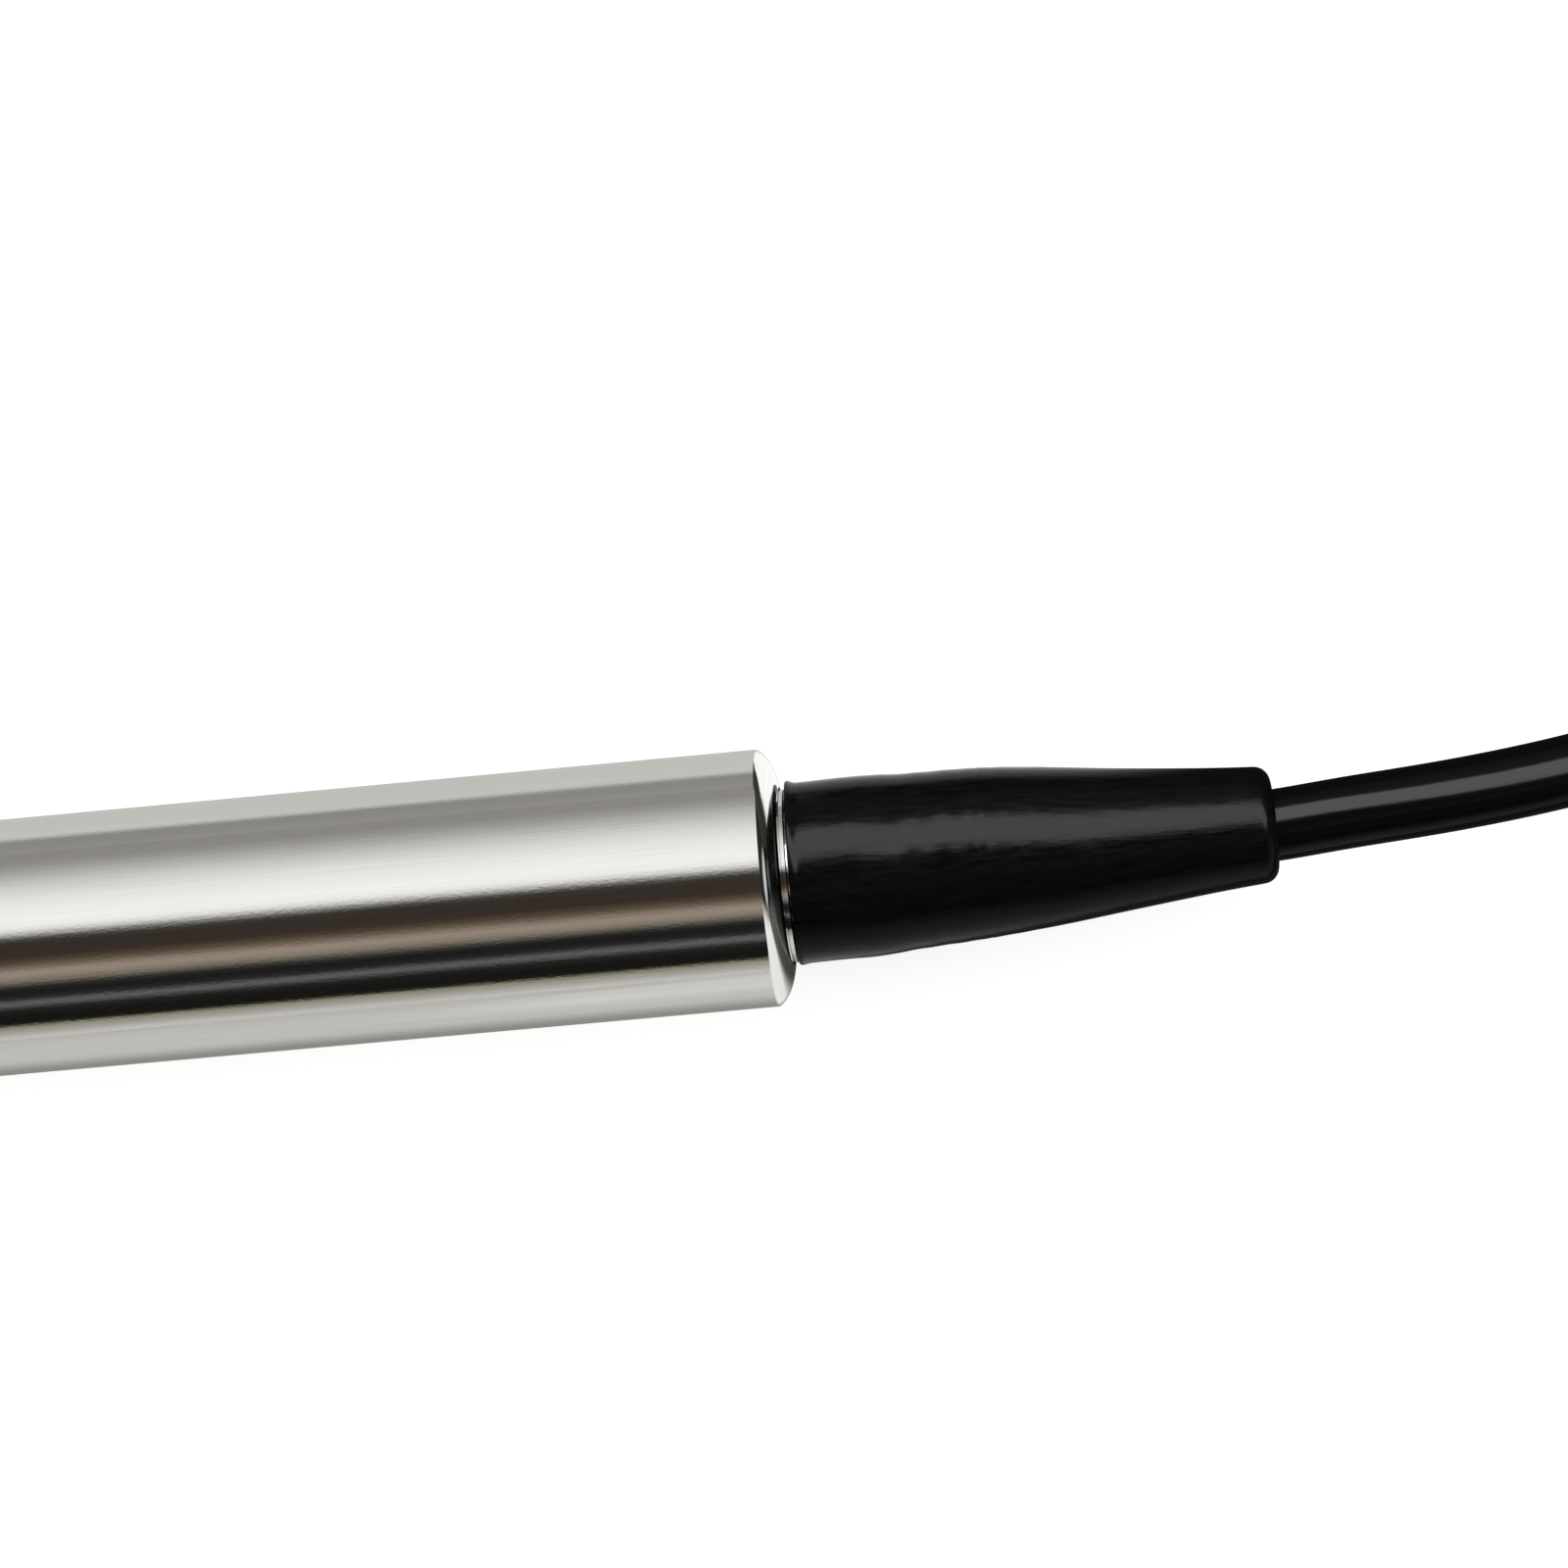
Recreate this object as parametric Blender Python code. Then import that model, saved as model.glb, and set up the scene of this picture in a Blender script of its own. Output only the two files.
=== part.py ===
"""Submersible level transmitter with its vented cable.

The transmitter lies along X on a flat surface at z = 0, with its nose towards -X and its cable
towards +X. The middle of its rigid body is over the origin. Lengths are in metres. Each turned
piece is an outline of (x, radius) points, measured from the face of the nose along the axis.
"""

import math

import bmesh
import bpy
import numpy as np
from mathutils import Vector

# Clearances between pieces that seat on each other, and round a rubber ring in its groove
GAP = 0.0003
SEAL_GAP = 0.00015

# Nose cap, with one port in its face and a ring of ports in its side
BODY_DIAMETER = 0.028
NOSE_CAP_LENGTH = 0.022
NOSE_CAP_WALL = 0.0027
NOSE_END_WALL = 0.003
NOSE_EDGE_RADIUS = 0.0035
FRONT_PORT_DIAMETER = 0.008
SIDE_PORT_DIAMETER = 0.006
SIDE_PORT_PLACE = 0.0075
SIDE_PORTS = 4

# Front socket, which carries the nose cap, the sensor and the tube
SOCKET_BAND = 0.002
CAP_THREAD_LENGTH = 0.010
SOCKET_SPIGOT_LENGTH = 0.0137
SOCKET_SHOULDER = 0.008
SOCKET_FRONT_WALL = 0.0012
SOCKET_REAR_WALL = 0.0042
SOCKET_GROOVE_PLACE = 0.004

# Sensor: an oil-filled body behind a corrugated diaphragm
SENSOR_LENGTH = 0.0134
RECESS_RIM = 0.0015
RECESS_DEPTH = 0.0015
DIAPHRAGM_THICKNESS = 0.0002
CORRUGATION_HEIGHT = 0.00012
CORRUGATIONS = 3
WELD_RING_WIDTH = 0.0009
WELD_RING_THICKNESS = 0.0005
RETAINER_LENGTH = 0.003
RETAINER_WALL = 0.0017
SPANNER_SLOT_WIDTH = 0.0024
SPANNER_SLOT_DEPTH = 0.0012
SENSOR_GROOVE_PLACE = 0.004
HEADER_PINS = 5
PIN_CIRCLE = 0.008
PIN_DIAMETER = 0.0006
PIN_LENGTH = 0.0065
REFERENCE_TUBE_DIAMETER = 0.0016
REFERENCE_TUBE_BORE = 0.0008
REFERENCE_TUBE_LENGTH = 0.005

# Rubber rings
RING_THICKNESS = 0.0016
GLAND_RING_THICKNESS = 0.001

# Housing tube: its end wall has a domed shoulder with a seat for the gland's collar
TUBE_LENGTH = 0.1004
TUBE_WALL = 0.002
END_WALL = 0.007
DOME_LENGTH = 0.00208
DOME_RIM_SLOPE = math.radians(28)
DOME_RIM_PULL = 0.6
DOME_END_SLOPE = math.radians(84)
DOME_END_PULL = 0.45
COLLAR_SEAT_DEPTH = 0.0025

# Electronics
SLEEVE_WALL = 0.0008
SLEEVE_REAR_ROOM = 0.0033
DISC_THICKNESS = 0.0025
BOARD_FRONT_ROOM = 0.007
CORE_ROOM = 0.0043
CORE_RISE = 0.00136
BOARD_MARGIN = 0.0016
TRIMMER_SIZE = (0.0048, 0.0048, 0.0056)
TRIMMER_PLACE = 0.011
TRIMMER_PITCH = 0.006
TRIMMER_EDGE_ROOM = 0.002
CHIP_SIZE = (0.0065, 0.0065, 0.0016)
TRANSISTOR_SIZE = (0.0066, 0.0061, 0.0023)
CAPACITOR_SIZE = (0.0060, 0.0032, 0.0026)
SUPPRESSOR_SIZE = (0.0044, 0.0026, 0.0022)
POWER_PART_PLACE = 0.023
TERMINAL_SIZE = (0.0070, 0.0100, 0.0060)
TERMINAL_PLACE = 0.009
BOARD_THICKNESS = 0.0016
BOARD_CORNER_RADIUS = 0.0015
BOARD_OVERLAP = 0.0018
WINDOW_MARGIN = 0.003
WIRE_DIAMETER = 0.0009
WIRE_STUB = 0.002
WIRE_LANDING = 0.0055
CORE_DIAMETER = 0.0016
VENT_TUBE_DIAMETER = 0.002

# Cable gland
GLAND_BORE = 0.0085
GLAND_STEM_DIAMETER = 0.014
GLAND_STEM_LENGTH = 0.013
COLLAR_DIAMETER = 0.0188
COLLAR_SHOWING = 0.00052
SPIGOT_DIAMETER = 0.0138
SPIGOT_LENGTH = 0.0164
SPIGOT_WALL = 0.001
BARB_DIAMETER = 0.0152
BARB_LENGTH = 0.0014
BARB_PLACE = 0.0012
BARBS = 2
GROMMET_POCKET_DEPTH = 0.013
GROMMET_WALL = 0.00135
GROMMET_LENGTH = 0.0114
PRESSURE_WASHER_THICKNESS = 0.0009
NUT_DIAMETER = 0.0164
NUT_END_WALL = 0.0038
NUT_SKIRT_LENGTH = 0.011
NUT_FLATS_ACROSS = 0.0152
LOCK_WASHER_THICKNESS = 0.0009
LOCK_NUT_LENGTH = 0.004
LOCK_NUT_ACROSS = 0.018

# Rubber boot, which tilts a little where the cable bends it
BOOT_LENGTH = 0.0525
BOOT_FRONT_DIAMETER = 0.020
BOOT_KNEE_DIAMETER = 0.01895
BOOT_REAR_DIAMETER = 0.0129
BOOT_LIP = 0.00012
BOOT_LIP_LENGTH = 0.0006
BOOT_STRAIGHT = 0.0052
BOOT_KNEE_PLACE = 0.0202
BOOT_KNEE_SLOPE = -0.06
BOOT_REAR_SLOPE = -0.075
BOOT_END_RADIUS = 0.0014
BOOT_CONE_LENGTH = 0.0095
BOOT_THROAT_CLEARANCE = 0.0006
BOOT_TILT = math.radians(0.8)

# Cable: how it lies after the boot, and the hank that takes up the rest of its two metres
CABLE_DIAMETER = 0.0078
CABLE_START = 0.006
CABLE_JOINT = 0.009
LEAD_ROUTE = (
    (0.0902, 0.00073, 0.0140),
    (0.0965, 0.00125, 0.0140),
    (0.1050, 0.00185, 0.0137),
    (0.1135, 0.00260, 0.0131),
    (0.1215, 0.00360, 0.0123),
    (0.1320, 0.00570, 0.0110),
    (0.1434, 0.00985, 0.0092),
    (0.1543, 0.01550, 0.0074),
)
TAIL_ROUTE = (
    (0.2305, 0.02290, 0.0150),
    (0.2380, 0.02210, 0.0111),
    (0.2460, 0.01930, 0.0074),
    (0.2530, 0.01490, 0.0049),
    (0.2580, 0.01100, 0.0042),
    (0.2605, 0.00890, 0.0041),
)
HANK_START = 0.155
HANK_RUN = 0.060
HANK_INNER_BEND = 0.0312
HANK_COLUMNS = 2
HANK_LAYERS = 3
TIE_THICKNESS = 0.0008
TIE_WIDTH = 0.005
TIE_HEAD = 0.0025
TIE_PLACE = 0.012
END_SLEEVE_LENGTH = 0.008
END_SLEEVE_TAPER = 0.003
END_SLEEVE_TIP = 0.0056
BARE_CORE_LENGTH = 0.0085
BARE_VENT_LENGTH = 0.0055
CORE_SPREAD_ANGLE = math.radians(40)
FERRULE_DIAMETER = 0.0022
FERRULE_LENGTH = 0.005
FILTER_DIAMETER = 0.0044
FILTER_LENGTH = 0.005

# How many flats stand for a circle
LARGE_ROUND = 48
MIDDLE_ROUND = 36
SEAL_ROUND = 32
SMALL_ROUND = 12

# Places along the axis, from the face of the nose
body_radius = BODY_DIAMETER / 2
cap_inside = body_radius - NOSE_CAP_WALL
tube_inside = body_radius - TUBE_WALL
band_front = NOSE_CAP_LENGTH + GAP
band_rear = band_front + SOCKET_BAND
tube_front = band_rear + GAP
rim = tube_front + TUBE_LENGTH
dome_end = rim + DOME_LENGTH
collar_rear = dome_end + COLLAR_SHOWING
wall_face = rim - END_WALL
seat_face = dome_end - COLLAR_SEAT_DEPTH
stem_start = seat_face - GLAND_STEM_LENGTH
cable_in = stem_start - CABLE_START
boot_front = collar_rear + GAP
boot_end_flat = BOOT_REAR_DIAMETER / 2 - BOOT_END_RADIUS
boot_rear = boot_front + BOOT_LENGTH * math.cos(BOOT_TILT) + boot_end_flat * math.sin(BOOT_TILT)
nose_face = -boot_rear / 2
axis_height = body_radius
cable_radius = CABLE_DIAMETER / 2


def clear_scene():
    for existing in list(bpy.data.objects):
        bpy.data.objects.remove(existing, do_unlink=True)


def material(name, colour, roughness, metallic=0.0):
    made = bpy.data.materials.new(name)
    made.use_nodes = True
    shader = made.node_tree.nodes["Principled BSDF"]
    shader.inputs["Base Color"].default_value = (*colour, 1.0)
    shader.inputs["Roughness"].default_value = roughness
    shader.inputs["Metallic"].default_value = metallic
    return made


def add(name, mesh, look, place=(0.0, 0.0, 0.0)):
    made = bpy.data.objects.new(name, mesh)
    made.location = place
    mesh.materials.append(look)
    bpy.context.scene.collection.objects.link(made)
    return made


def finished(name, bm, smooth_angle=35):
    """A mesh from bm, its faces pointing out, smooth where they meet at less than the angle."""
    bmesh.ops.recalc_face_normals(bm, faces=bm.faces)
    mesh = bpy.data.meshes.new(name)
    bm.to_mesh(mesh)
    bm.free()
    mesh.shade_smooth()
    mesh.set_sharp_from_angle(angle=math.radians(smooth_angle))
    return mesh


def on_axis(x=0.0):
    return (nose_face + x, 0.0, axis_height)


def turned(name, outline, look, flats=LARGE_ROUND, place=None):
    """Spins an outline of (x, radius) points about the axis. Points of radius 0 close it there."""
    bm = bmesh.new()
    points = [bm.verts.new((x, 0.0, radius)) for x, radius in outline]
    for start, end in zip(points, points[1:] + points[:1]):
        if start.co.z > 0.0 or end.co.z > 0.0:
            bm.edges.new((start, end))
    bmesh.ops.spin(
        bm,
        geom=bm.verts[:] + bm.edges[:],
        cent=(0, 0, 0),
        axis=(1, 0, 0),
        angle=math.tau,
        steps=flats,
        use_merge=True,
    )
    bmesh.ops.remove_doubles(bm, verts=bm.verts, dist=1e-6)
    return add(name, finished(name, bm), look, on_axis() if place is None else place)


def arc(x, radius, size, start, end, steps=5):
    """Points of a round corner about (x, radius). Angles are from +x towards larger radius."""
    angles = [math.radians(start + (end - start) * n / steps) for n in range(steps + 1)]
    return [(x + size * math.cos(a), radius + size * math.sin(a)) for a in angles]


def eased(start, end, start_slope, end_slope, steps):
    """Points from start to end of a curve with these slopes, in radius per length, at its ends."""
    (x0, r0), (x1, r1) = start, end
    length = x1 - x0
    found = []
    for n in range(steps + 1):
        t = n / steps
        rise = (2 * t**3 - 3 * t**2 + 1) * r0 + (3 * t**2 - 2 * t**3) * r1
        lean = (t**3 - 2 * t**2 + t) * start_slope + (t**3 - t**2) * end_slope
        found.append((x0 + length * t, rise + length * lean))
    return found


def box(name, size, centre, look, corner=0.0, segments=2):
    """A block about centre, its edges rounded by corner."""
    bm = bmesh.new()
    bmesh.ops.create_cube(bm, size=1.0)
    bmesh.ops.scale(bm, vec=size, verts=bm.verts)
    if corner:
        bmesh.ops.bevel(bm, geom=bm.edges[:], offset=corner, segments=segments, affect="EDGES")
    return add(name, finished(name, bm), look, centre)


def prism(name, outline, start, end, look, place=None):
    """An outline of (y, z) points, carried along X from start to end."""
    bm = bmesh.new()
    face = bm.faces.new([bm.verts.new((start, y, z)) for y, z in outline])
    grown = bmesh.ops.extrude_face_region(bm, geom=[face])["geom"]
    moved = [part for part in grown if isinstance(part, bmesh.types.BMVert)]
    bmesh.ops.translate(bm, vec=(end - start, 0, 0), verts=moved)
    return add(name, finished(name, bm), look, on_axis() if place is None else place)


def circle(radius, flats, y=0.0, z=0.0):
    turns = [math.tau * n / flats for n in range(flats)]
    return [(y + radius * math.cos(t), z + radius * math.sin(t)) for t in turns]


def as_cutter(cutter):
    cutter.hide_render = True
    cutter.display_type = "WIRE"
    return cutter


def join_or_cut(target, tool, operation="DIFFERENCE"):
    step = target.modifiers.new(tool.name, "BOOLEAN")
    step.operation = operation
    step.object = as_cutter(tool)


def spline(points, spacing):
    """Evenly spaced points of the natural cubic curve through points.

    Second derivatives along the chord length come from the usual three-term equations, zero at
    both ends, and the curve is then walked in steps of equal length.
    """
    given = np.array(points, float)
    knots = np.concatenate([[0.0], np.linalg.norm(np.diff(given, axis=0), axis=1).cumsum()])
    gaps = np.diff(knots)
    count = len(given)
    system = np.eye(count)
    target = np.zeros_like(given)
    slopes = np.diff(given, axis=0) / gaps[:, None]
    for n in range(1, count - 1):
        system[n, n - 1 : n + 2] = gaps[n - 1], 2 * (gaps[n - 1] + gaps[n]), gaps[n]
        target[n] = 6 * (slopes[n] - slopes[n - 1])
    bends = np.linalg.solve(system, target)
    fine = np.linspace(0.0, knots[-1], 40 * count)
    span = np.clip(np.searchsorted(knots, fine, side="right") - 1, 0, count - 2)
    step = gaps[span][:, None]
    before = (fine - knots[span])[:, None]
    after = step - before
    curve = (
        (bends[span] * after**3 + bends[span + 1] * before**3) / (6 * step)
        + (given[span] / step - bends[span] * step / 6) * after
        + (given[span + 1] / step - bends[span + 1] * step / 6) * before
    )
    walked = np.concatenate([[0.0], np.linalg.norm(np.diff(curve, axis=0), axis=1).cumsum()])
    marks = np.linspace(0.0, walked[-1], max(2, round(walked[-1] / spacing) + 1))
    return [Vector([np.interp(m, walked, curve[:, k]) for k in range(3)]) for m in marks]


def tube_along(name, points, diameter, look, resolution=2):
    """A round tube of this diameter with filled ends, its centre line on the points."""
    line = bpy.data.curves.new(name, "CURVE")
    line.dimensions = "3D"
    line.bevel_depth = diameter / 2
    line.bevel_resolution = resolution
    line.use_fill_caps = True
    route = line.splines.new("POLY")
    route.points.add(len(points) - 1)
    for mark, point in zip(route.points, points):
        mark.co = (*point, 1.0)
    return add(name, line, look)


def outside_flats(diameter, flats):
    """The corner diameter of a polygon whose flats are this far apart."""
    return diameter / math.cos(math.pi / flats)


clear_scene()

polished_steel = material("polished_steel", (0.72, 0.71, 0.69), 0.18, 1.0)
sensor_steel = material("sensor_steel", (0.66, 0.66, 0.66), 0.3, 1.0)
gold_plate = material("gold_plate", (0.83, 0.62, 0.28), 0.25, 1.0)
tin_plate = material("tin_plate", (0.75, 0.75, 0.74), 0.35, 1.0)
seal_rubber = material("seal_rubber", (0.02, 0.02, 0.02), 0.6)
boot_rubber = material("boot_rubber", (0.012, 0.013, 0.013), 0.45)
cable_sheath = material("cable_sheath", (0.008, 0.008, 0.008), 0.2)
board_green = material("board_green", (0.03, 0.16, 0.07), 0.45)
chip_black = material("chip_black", (0.02, 0.02, 0.02), 0.5)
trimmer_blue = material("trimmer_blue", (0.05, 0.13, 0.45), 0.4)
capacitor_yellow = material("capacitor_yellow", (0.72, 0.48, 0.08), 0.45)
natural_plastic = material("natural_plastic", (0.82, 0.80, 0.74), 0.5)
core_red = material("core_red", (0.55, 0.03, 0.02), 0.4)
core_black = material("core_black", (0.015, 0.015, 0.015), 0.4)
vent_white = material("vent_white", (0.75, 0.75, 0.72), 0.4)


# Nose cap: a cup screwed over the socket, open to the liquid through its ports
front_port = FRONT_PORT_DIAMETER / 2
edge_centre = body_radius - NOSE_EDGE_RADIUS
nose_cap = turned(
    "nose_cap",
    [(NOSE_END_WALL, front_port), (NOSE_END_WALL, cap_inside), (NOSE_CAP_LENGTH, cap_inside)]
    + [(NOSE_CAP_LENGTH, body_radius)]
    + arc(NOSE_EDGE_RADIUS, edge_centre, NOSE_EDGE_RADIUS, 90, 180, 6)
    + [(0.0, front_port)],
    polished_steel,
)
for number in range(SIDE_PORTS):
    turn = math.tau * number / SIDE_PORTS
    port = turned(
        f"side_port_cutter_{number + 1}",
        [
            (0.0, 0.0),
            (0.0, SIDE_PORT_DIAMETER / 2),
            (BODY_DIAMETER, SIDE_PORT_DIAMETER / 2),
            (BODY_DIAMETER, 0.0),
        ],
        polished_steel,
        2 * SMALL_ROUND,
        on_axis(SIDE_PORT_PLACE),
    )
    port.rotation_mode = "ZYX"
    port.rotation_euler = (turn, 0.0, math.pi / 2)
    join_or_cut(nose_cap, port)


# Front socket: threaded for the cap in front, a band that shows, and a spigot inside the tube
socket_front = band_front - CAP_THREAD_LENGTH
socket_rear = band_rear + SOCKET_SPIGOT_LENGTH
pocket_bottom = socket_rear - SOCKET_SHOULDER
cap_spigot = cap_inside - GAP
tube_spigot = tube_inside - GAP
pocket_radius = cap_spigot - SOCKET_FRONT_WALL
groove_depth = RING_THICKNESS + 2 * SEAL_GAP - GAP
groove_width = RING_THICKNESS + 2 * SEAL_GAP
socket_groove = band_rear + SOCKET_GROOVE_PLACE
groove_floor = tube_spigot - groove_depth
rear_bore = tube_spigot - SOCKET_REAR_WALL
turned(
    "front_socket",
    [
        (socket_front, pocket_radius),
        (pocket_bottom, pocket_radius),
        (pocket_bottom, rear_bore),
        (socket_rear, rear_bore),
        (socket_rear, tube_spigot),
        (socket_groove + groove_width, tube_spigot),
        (socket_groove + groove_width, groove_floor),
        (socket_groove, groove_floor),
        (socket_groove, tube_spigot),
        (band_rear, tube_spigot),
        (band_rear, body_radius),
        (band_front, body_radius),
        (band_front, cap_spigot),
        (socket_front, cap_spigot),
    ],
    polished_steel,
)


def rubber_ring(name, centre, floor, thickness):
    """A round-section ring that lies on a groove's floor."""
    size = thickness / 2
    outline = arc(centre, floor + SEAL_GAP + size, size, 0, 315, 7)
    return turned(name, outline, seal_rubber, SEAL_ROUND)


rubber_ring("housing_oring", socket_groove + groove_width / 2, groove_floor, RING_THICKNESS)


# Sensor: a turned body with a groove for its seal and a recess for the diaphragm
sensor_rear = pocket_bottom - GAP
sensor_front = sensor_rear - SENSOR_LENGTH
sensor_radius = pocket_radius - GAP
sensor_groove = sensor_rear - SENSOR_GROOVE_PLACE - groove_width
sensor_groove_floor = pocket_radius - SEAL_GAP - RING_THICKNESS - SEAL_GAP
recess_radius = sensor_radius - RECESS_RIM
recess_floor = sensor_front + RECESS_DEPTH
turned(
    "sensor_body",
    [
        (recess_floor, 0.0),
        (recess_floor, recess_radius),
        (sensor_front, recess_radius),
        (sensor_front, sensor_radius),
        (sensor_groove, sensor_radius),
        (sensor_groove, sensor_groove_floor),
        (sensor_groove + groove_width, sensor_groove_floor),
        (sensor_groove + groove_width, sensor_radius),
        (sensor_rear, sensor_radius),
        (sensor_rear, 0.0),
    ],
    sensor_steel,
    MIDDLE_ROUND,
)
rubber_ring(
    "sensor_oring", sensor_groove + groove_width / 2, sensor_groove_floor, RING_THICKNESS
)

# Diaphragm: a thin disc with rings pressed into it, its rim held under the weld ring
disc_radius = recess_radius - GAP
waves_end = disc_radius - WELD_RING_WIDTH - GAP
disc_middle = recess_floor - GAP - CORRUGATION_HEIGHT - DIAPHRAGM_THICKNESS / 2
wave_steps = 4 * CORRUGATIONS


def disc_outline(side):
    """The disc's front or rear line: a cosine wave from its middle out, then flat to the rim."""
    line = []
    for step in range(wave_steps + 1):
        share = step / wave_steps
        wave = CORRUGATION_HEIGHT * math.cos(math.tau * CORRUGATIONS * share)
        fade = 1.0 - share**8
        line.append((disc_middle + side + wave * fade, waves_end * share))
    return line + [(disc_middle + side, disc_radius)]


turned(
    "diaphragm",
    disc_outline(-DIAPHRAGM_THICKNESS / 2) + disc_outline(DIAPHRAGM_THICKNESS / 2)[::-1],
    sensor_steel,
    SEAL_ROUND,
)
weld_rear = disc_middle - DIAPHRAGM_THICKNESS / 2 - GAP / 2
weld_front = weld_rear - WELD_RING_THICKNESS
turned(
    "weld_ring",
    [
        (weld_front, disc_radius - WELD_RING_WIDTH),
        (weld_rear, disc_radius - WELD_RING_WIDTH),
        (weld_rear, disc_radius),
        (weld_front, disc_radius),
    ],
    sensor_steel,
    MIDDLE_ROUND,
)

# Retaining ring: screwed in front of the sensor, with two slots for a pin spanner
retainer_rear = sensor_front - GAP
retainer_front = retainer_rear - RETAINER_LENGTH
retainer_ring = turned(
    "sensor_retainer",
    [
        (retainer_front, sensor_radius - RETAINER_WALL),
        (retainer_rear, sensor_radius - RETAINER_WALL),
        (retainer_rear, sensor_radius),
        (retainer_front, sensor_radius),
    ],
    sensor_steel,
    MIDDLE_ROUND,
)
spanner_slot = box(
    "spanner_slot_cutter",
    (2 * SPANNER_SLOT_DEPTH, BODY_DIAMETER, SPANNER_SLOT_WIDTH),
    on_axis(retainer_front),
    sensor_steel,
)
join_or_cut(retainer_ring, spanner_slot)

# Header pins in a circle round the reference tube, on the sensor's rear face
pin_start = sensor_rear + GAP
pin_radius = PIN_DIAMETER / 2


def pin_place(number):
    turn = math.tau * (number + 0.5) / HEADER_PINS
    return PIN_CIRCLE / 2 * math.cos(turn), PIN_CIRCLE / 2 * math.sin(turn)


for number in range(HEADER_PINS):
    sideways, upwards = pin_place(number)
    turned(
        f"header_pin_{number + 1}",
        [(pin_start, 0.0), (pin_start, pin_radius)]
        + [(pin_start + PIN_LENGTH - pin_radius, pin_radius)]
        + [(pin_start + PIN_LENGTH, 0.0)],
        gold_plate,
        SMALL_ROUND,
        (nose_face, sideways, axis_height + upwards),
    )
turned(
    "reference_tube",
    [
        (pin_start, REFERENCE_TUBE_BORE / 2),
        (pin_start + REFERENCE_TUBE_LENGTH, REFERENCE_TUBE_BORE / 2),
        (pin_start + REFERENCE_TUBE_LENGTH, REFERENCE_TUBE_DIAMETER / 2),
        (pin_start, REFERENCE_TUBE_DIAMETER / 2),
    ],
    sensor_steel,
    SMALL_ROUND,
)


# Housing tube: bored from the front, with a crease at the rim, a domed shoulder and a seat
collar_radius = COLLAR_DIAMETER / 2
seat_radius = collar_radius + GAP
stem_radius = GLAND_STEM_DIAMETER / 2
stem_hole = stem_radius + GAP


def dome(steps=9):
    """Points from the rim to the seat: a cubic curve that leaves and arrives at set slopes."""
    start = Vector((rim, body_radius))
    end = Vector((dome_end, seat_radius))
    leaving = Vector((math.cos(DOME_RIM_SLOPE), -math.sin(DOME_RIM_SLOPE)))
    arriving = Vector((math.cos(DOME_END_SLOPE), -math.sin(DOME_END_SLOPE)))
    first = start + DOME_RIM_PULL * DOME_LENGTH * leaving
    last = end - DOME_END_PULL * (body_radius - seat_radius) * arriving
    found = []
    for n in range(steps + 1):
        t = n / steps
        point = (
            (1 - t) ** 3 * start
            + 3 * t * (1 - t) ** 2 * first
            + 3 * t**2 * (1 - t) * last
            + t**3 * end
        )
        found.append((point.x, point.y))
    return found


turned(
    "housing_tube",
    [
        (wall_face, stem_hole),
        (seat_face, stem_hole),
        (seat_face, seat_radius),
    ]
    + dome()[::-1]
    + [
        (tube_front, body_radius),
        (tube_front, tube_inside),
        (wall_face, tube_inside),
    ],
    polished_steel,
)


# Electronics: a board held by two discs in an insulating sleeve
sleeve_front = socket_rear + GAP
sleeve_rear = stem_start - SLEEVE_REAR_ROOM
sleeve_outside = tube_inside - GAP
sleeve_inside = sleeve_outside - SLEEVE_WALL
turned(
    "insulating_sleeve",
    [
        (sleeve_front, sleeve_inside),
        (sleeve_rear, sleeve_inside),
        (sleeve_rear, sleeve_outside),
        (sleeve_front, sleeve_outside),
    ],
    natural_plastic,
    MIDDLE_ROUND,
)
disc_outside = sleeve_inside - GAP
board_front = sleeve_front + BOARD_FRONT_ROOM
board_rear = cable_in - CORE_ROOM
board_middle = (board_front + board_rear) / 2
board_width = 2 * (disc_outside - BOARD_MARGIN)
slot_height = BOARD_THICKNESS + 2 * GAP
slot_width = board_width + 2 * GAP
wire_window = disc_outside - slot_height / 2 - WINDOW_MARGIN
for name, inner, outer in (
    ("front_board_disc", board_front + BOARD_OVERLAP, -1),
    ("rear_board_disc", board_rear - BOARD_OVERLAP, 1),
):
    ends = sorted((inner, inner + outer * DISC_THICKNESS))
    disc = turned(
        name,
        [(ends[0], 0.0), (ends[0], disc_outside), (ends[1], disc_outside), (ends[1], 0.0)],
        natural_plastic,
        MIDDLE_ROUND,
    )
    slot = box(
        f"{name}_slot_cutter",
        (4 * DISC_THICKNESS, slot_width, slot_height),
        on_axis(inner),
        natural_plastic,
    )
    join_or_cut(disc, slot)
    window = prism(
        f"{name}_window_cutter",
        [(y, z) for y, z in circle(wire_window, 24, 0.0, slot_height / 2 - GAP) if z > 0.0],
        ends[0] - DISC_THICKNESS,
        ends[1] + DISC_THICKNESS,
        natural_plastic,
    )
    join_or_cut(disc, window)

board = box(
    "circuit_board",
    (board_rear - board_front, board_width, BOARD_THICKNESS),
    on_axis(board_middle),
    board_green,
)
rounding = board.modifiers.new("corners", "BEVEL")
rounding.affect = "EDGES"
rounding.width = BOARD_CORNER_RADIUS
rounding.segments = 3
rounding.limit_method = "WEIGHT"
weights = board.data.attributes.new("bevel_weight_edge", "FLOAT", "EDGE")
for edge in board.data.edges:
    ends = [board.data.vertices[v].co for v in edge.vertices]
    weights.data[edge.index].value = float(abs(ends[0].z - ends[1].z) > BOARD_THICKNESS / 2)

board_top = BOARD_THICKNESS / 2 + GAP


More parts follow.
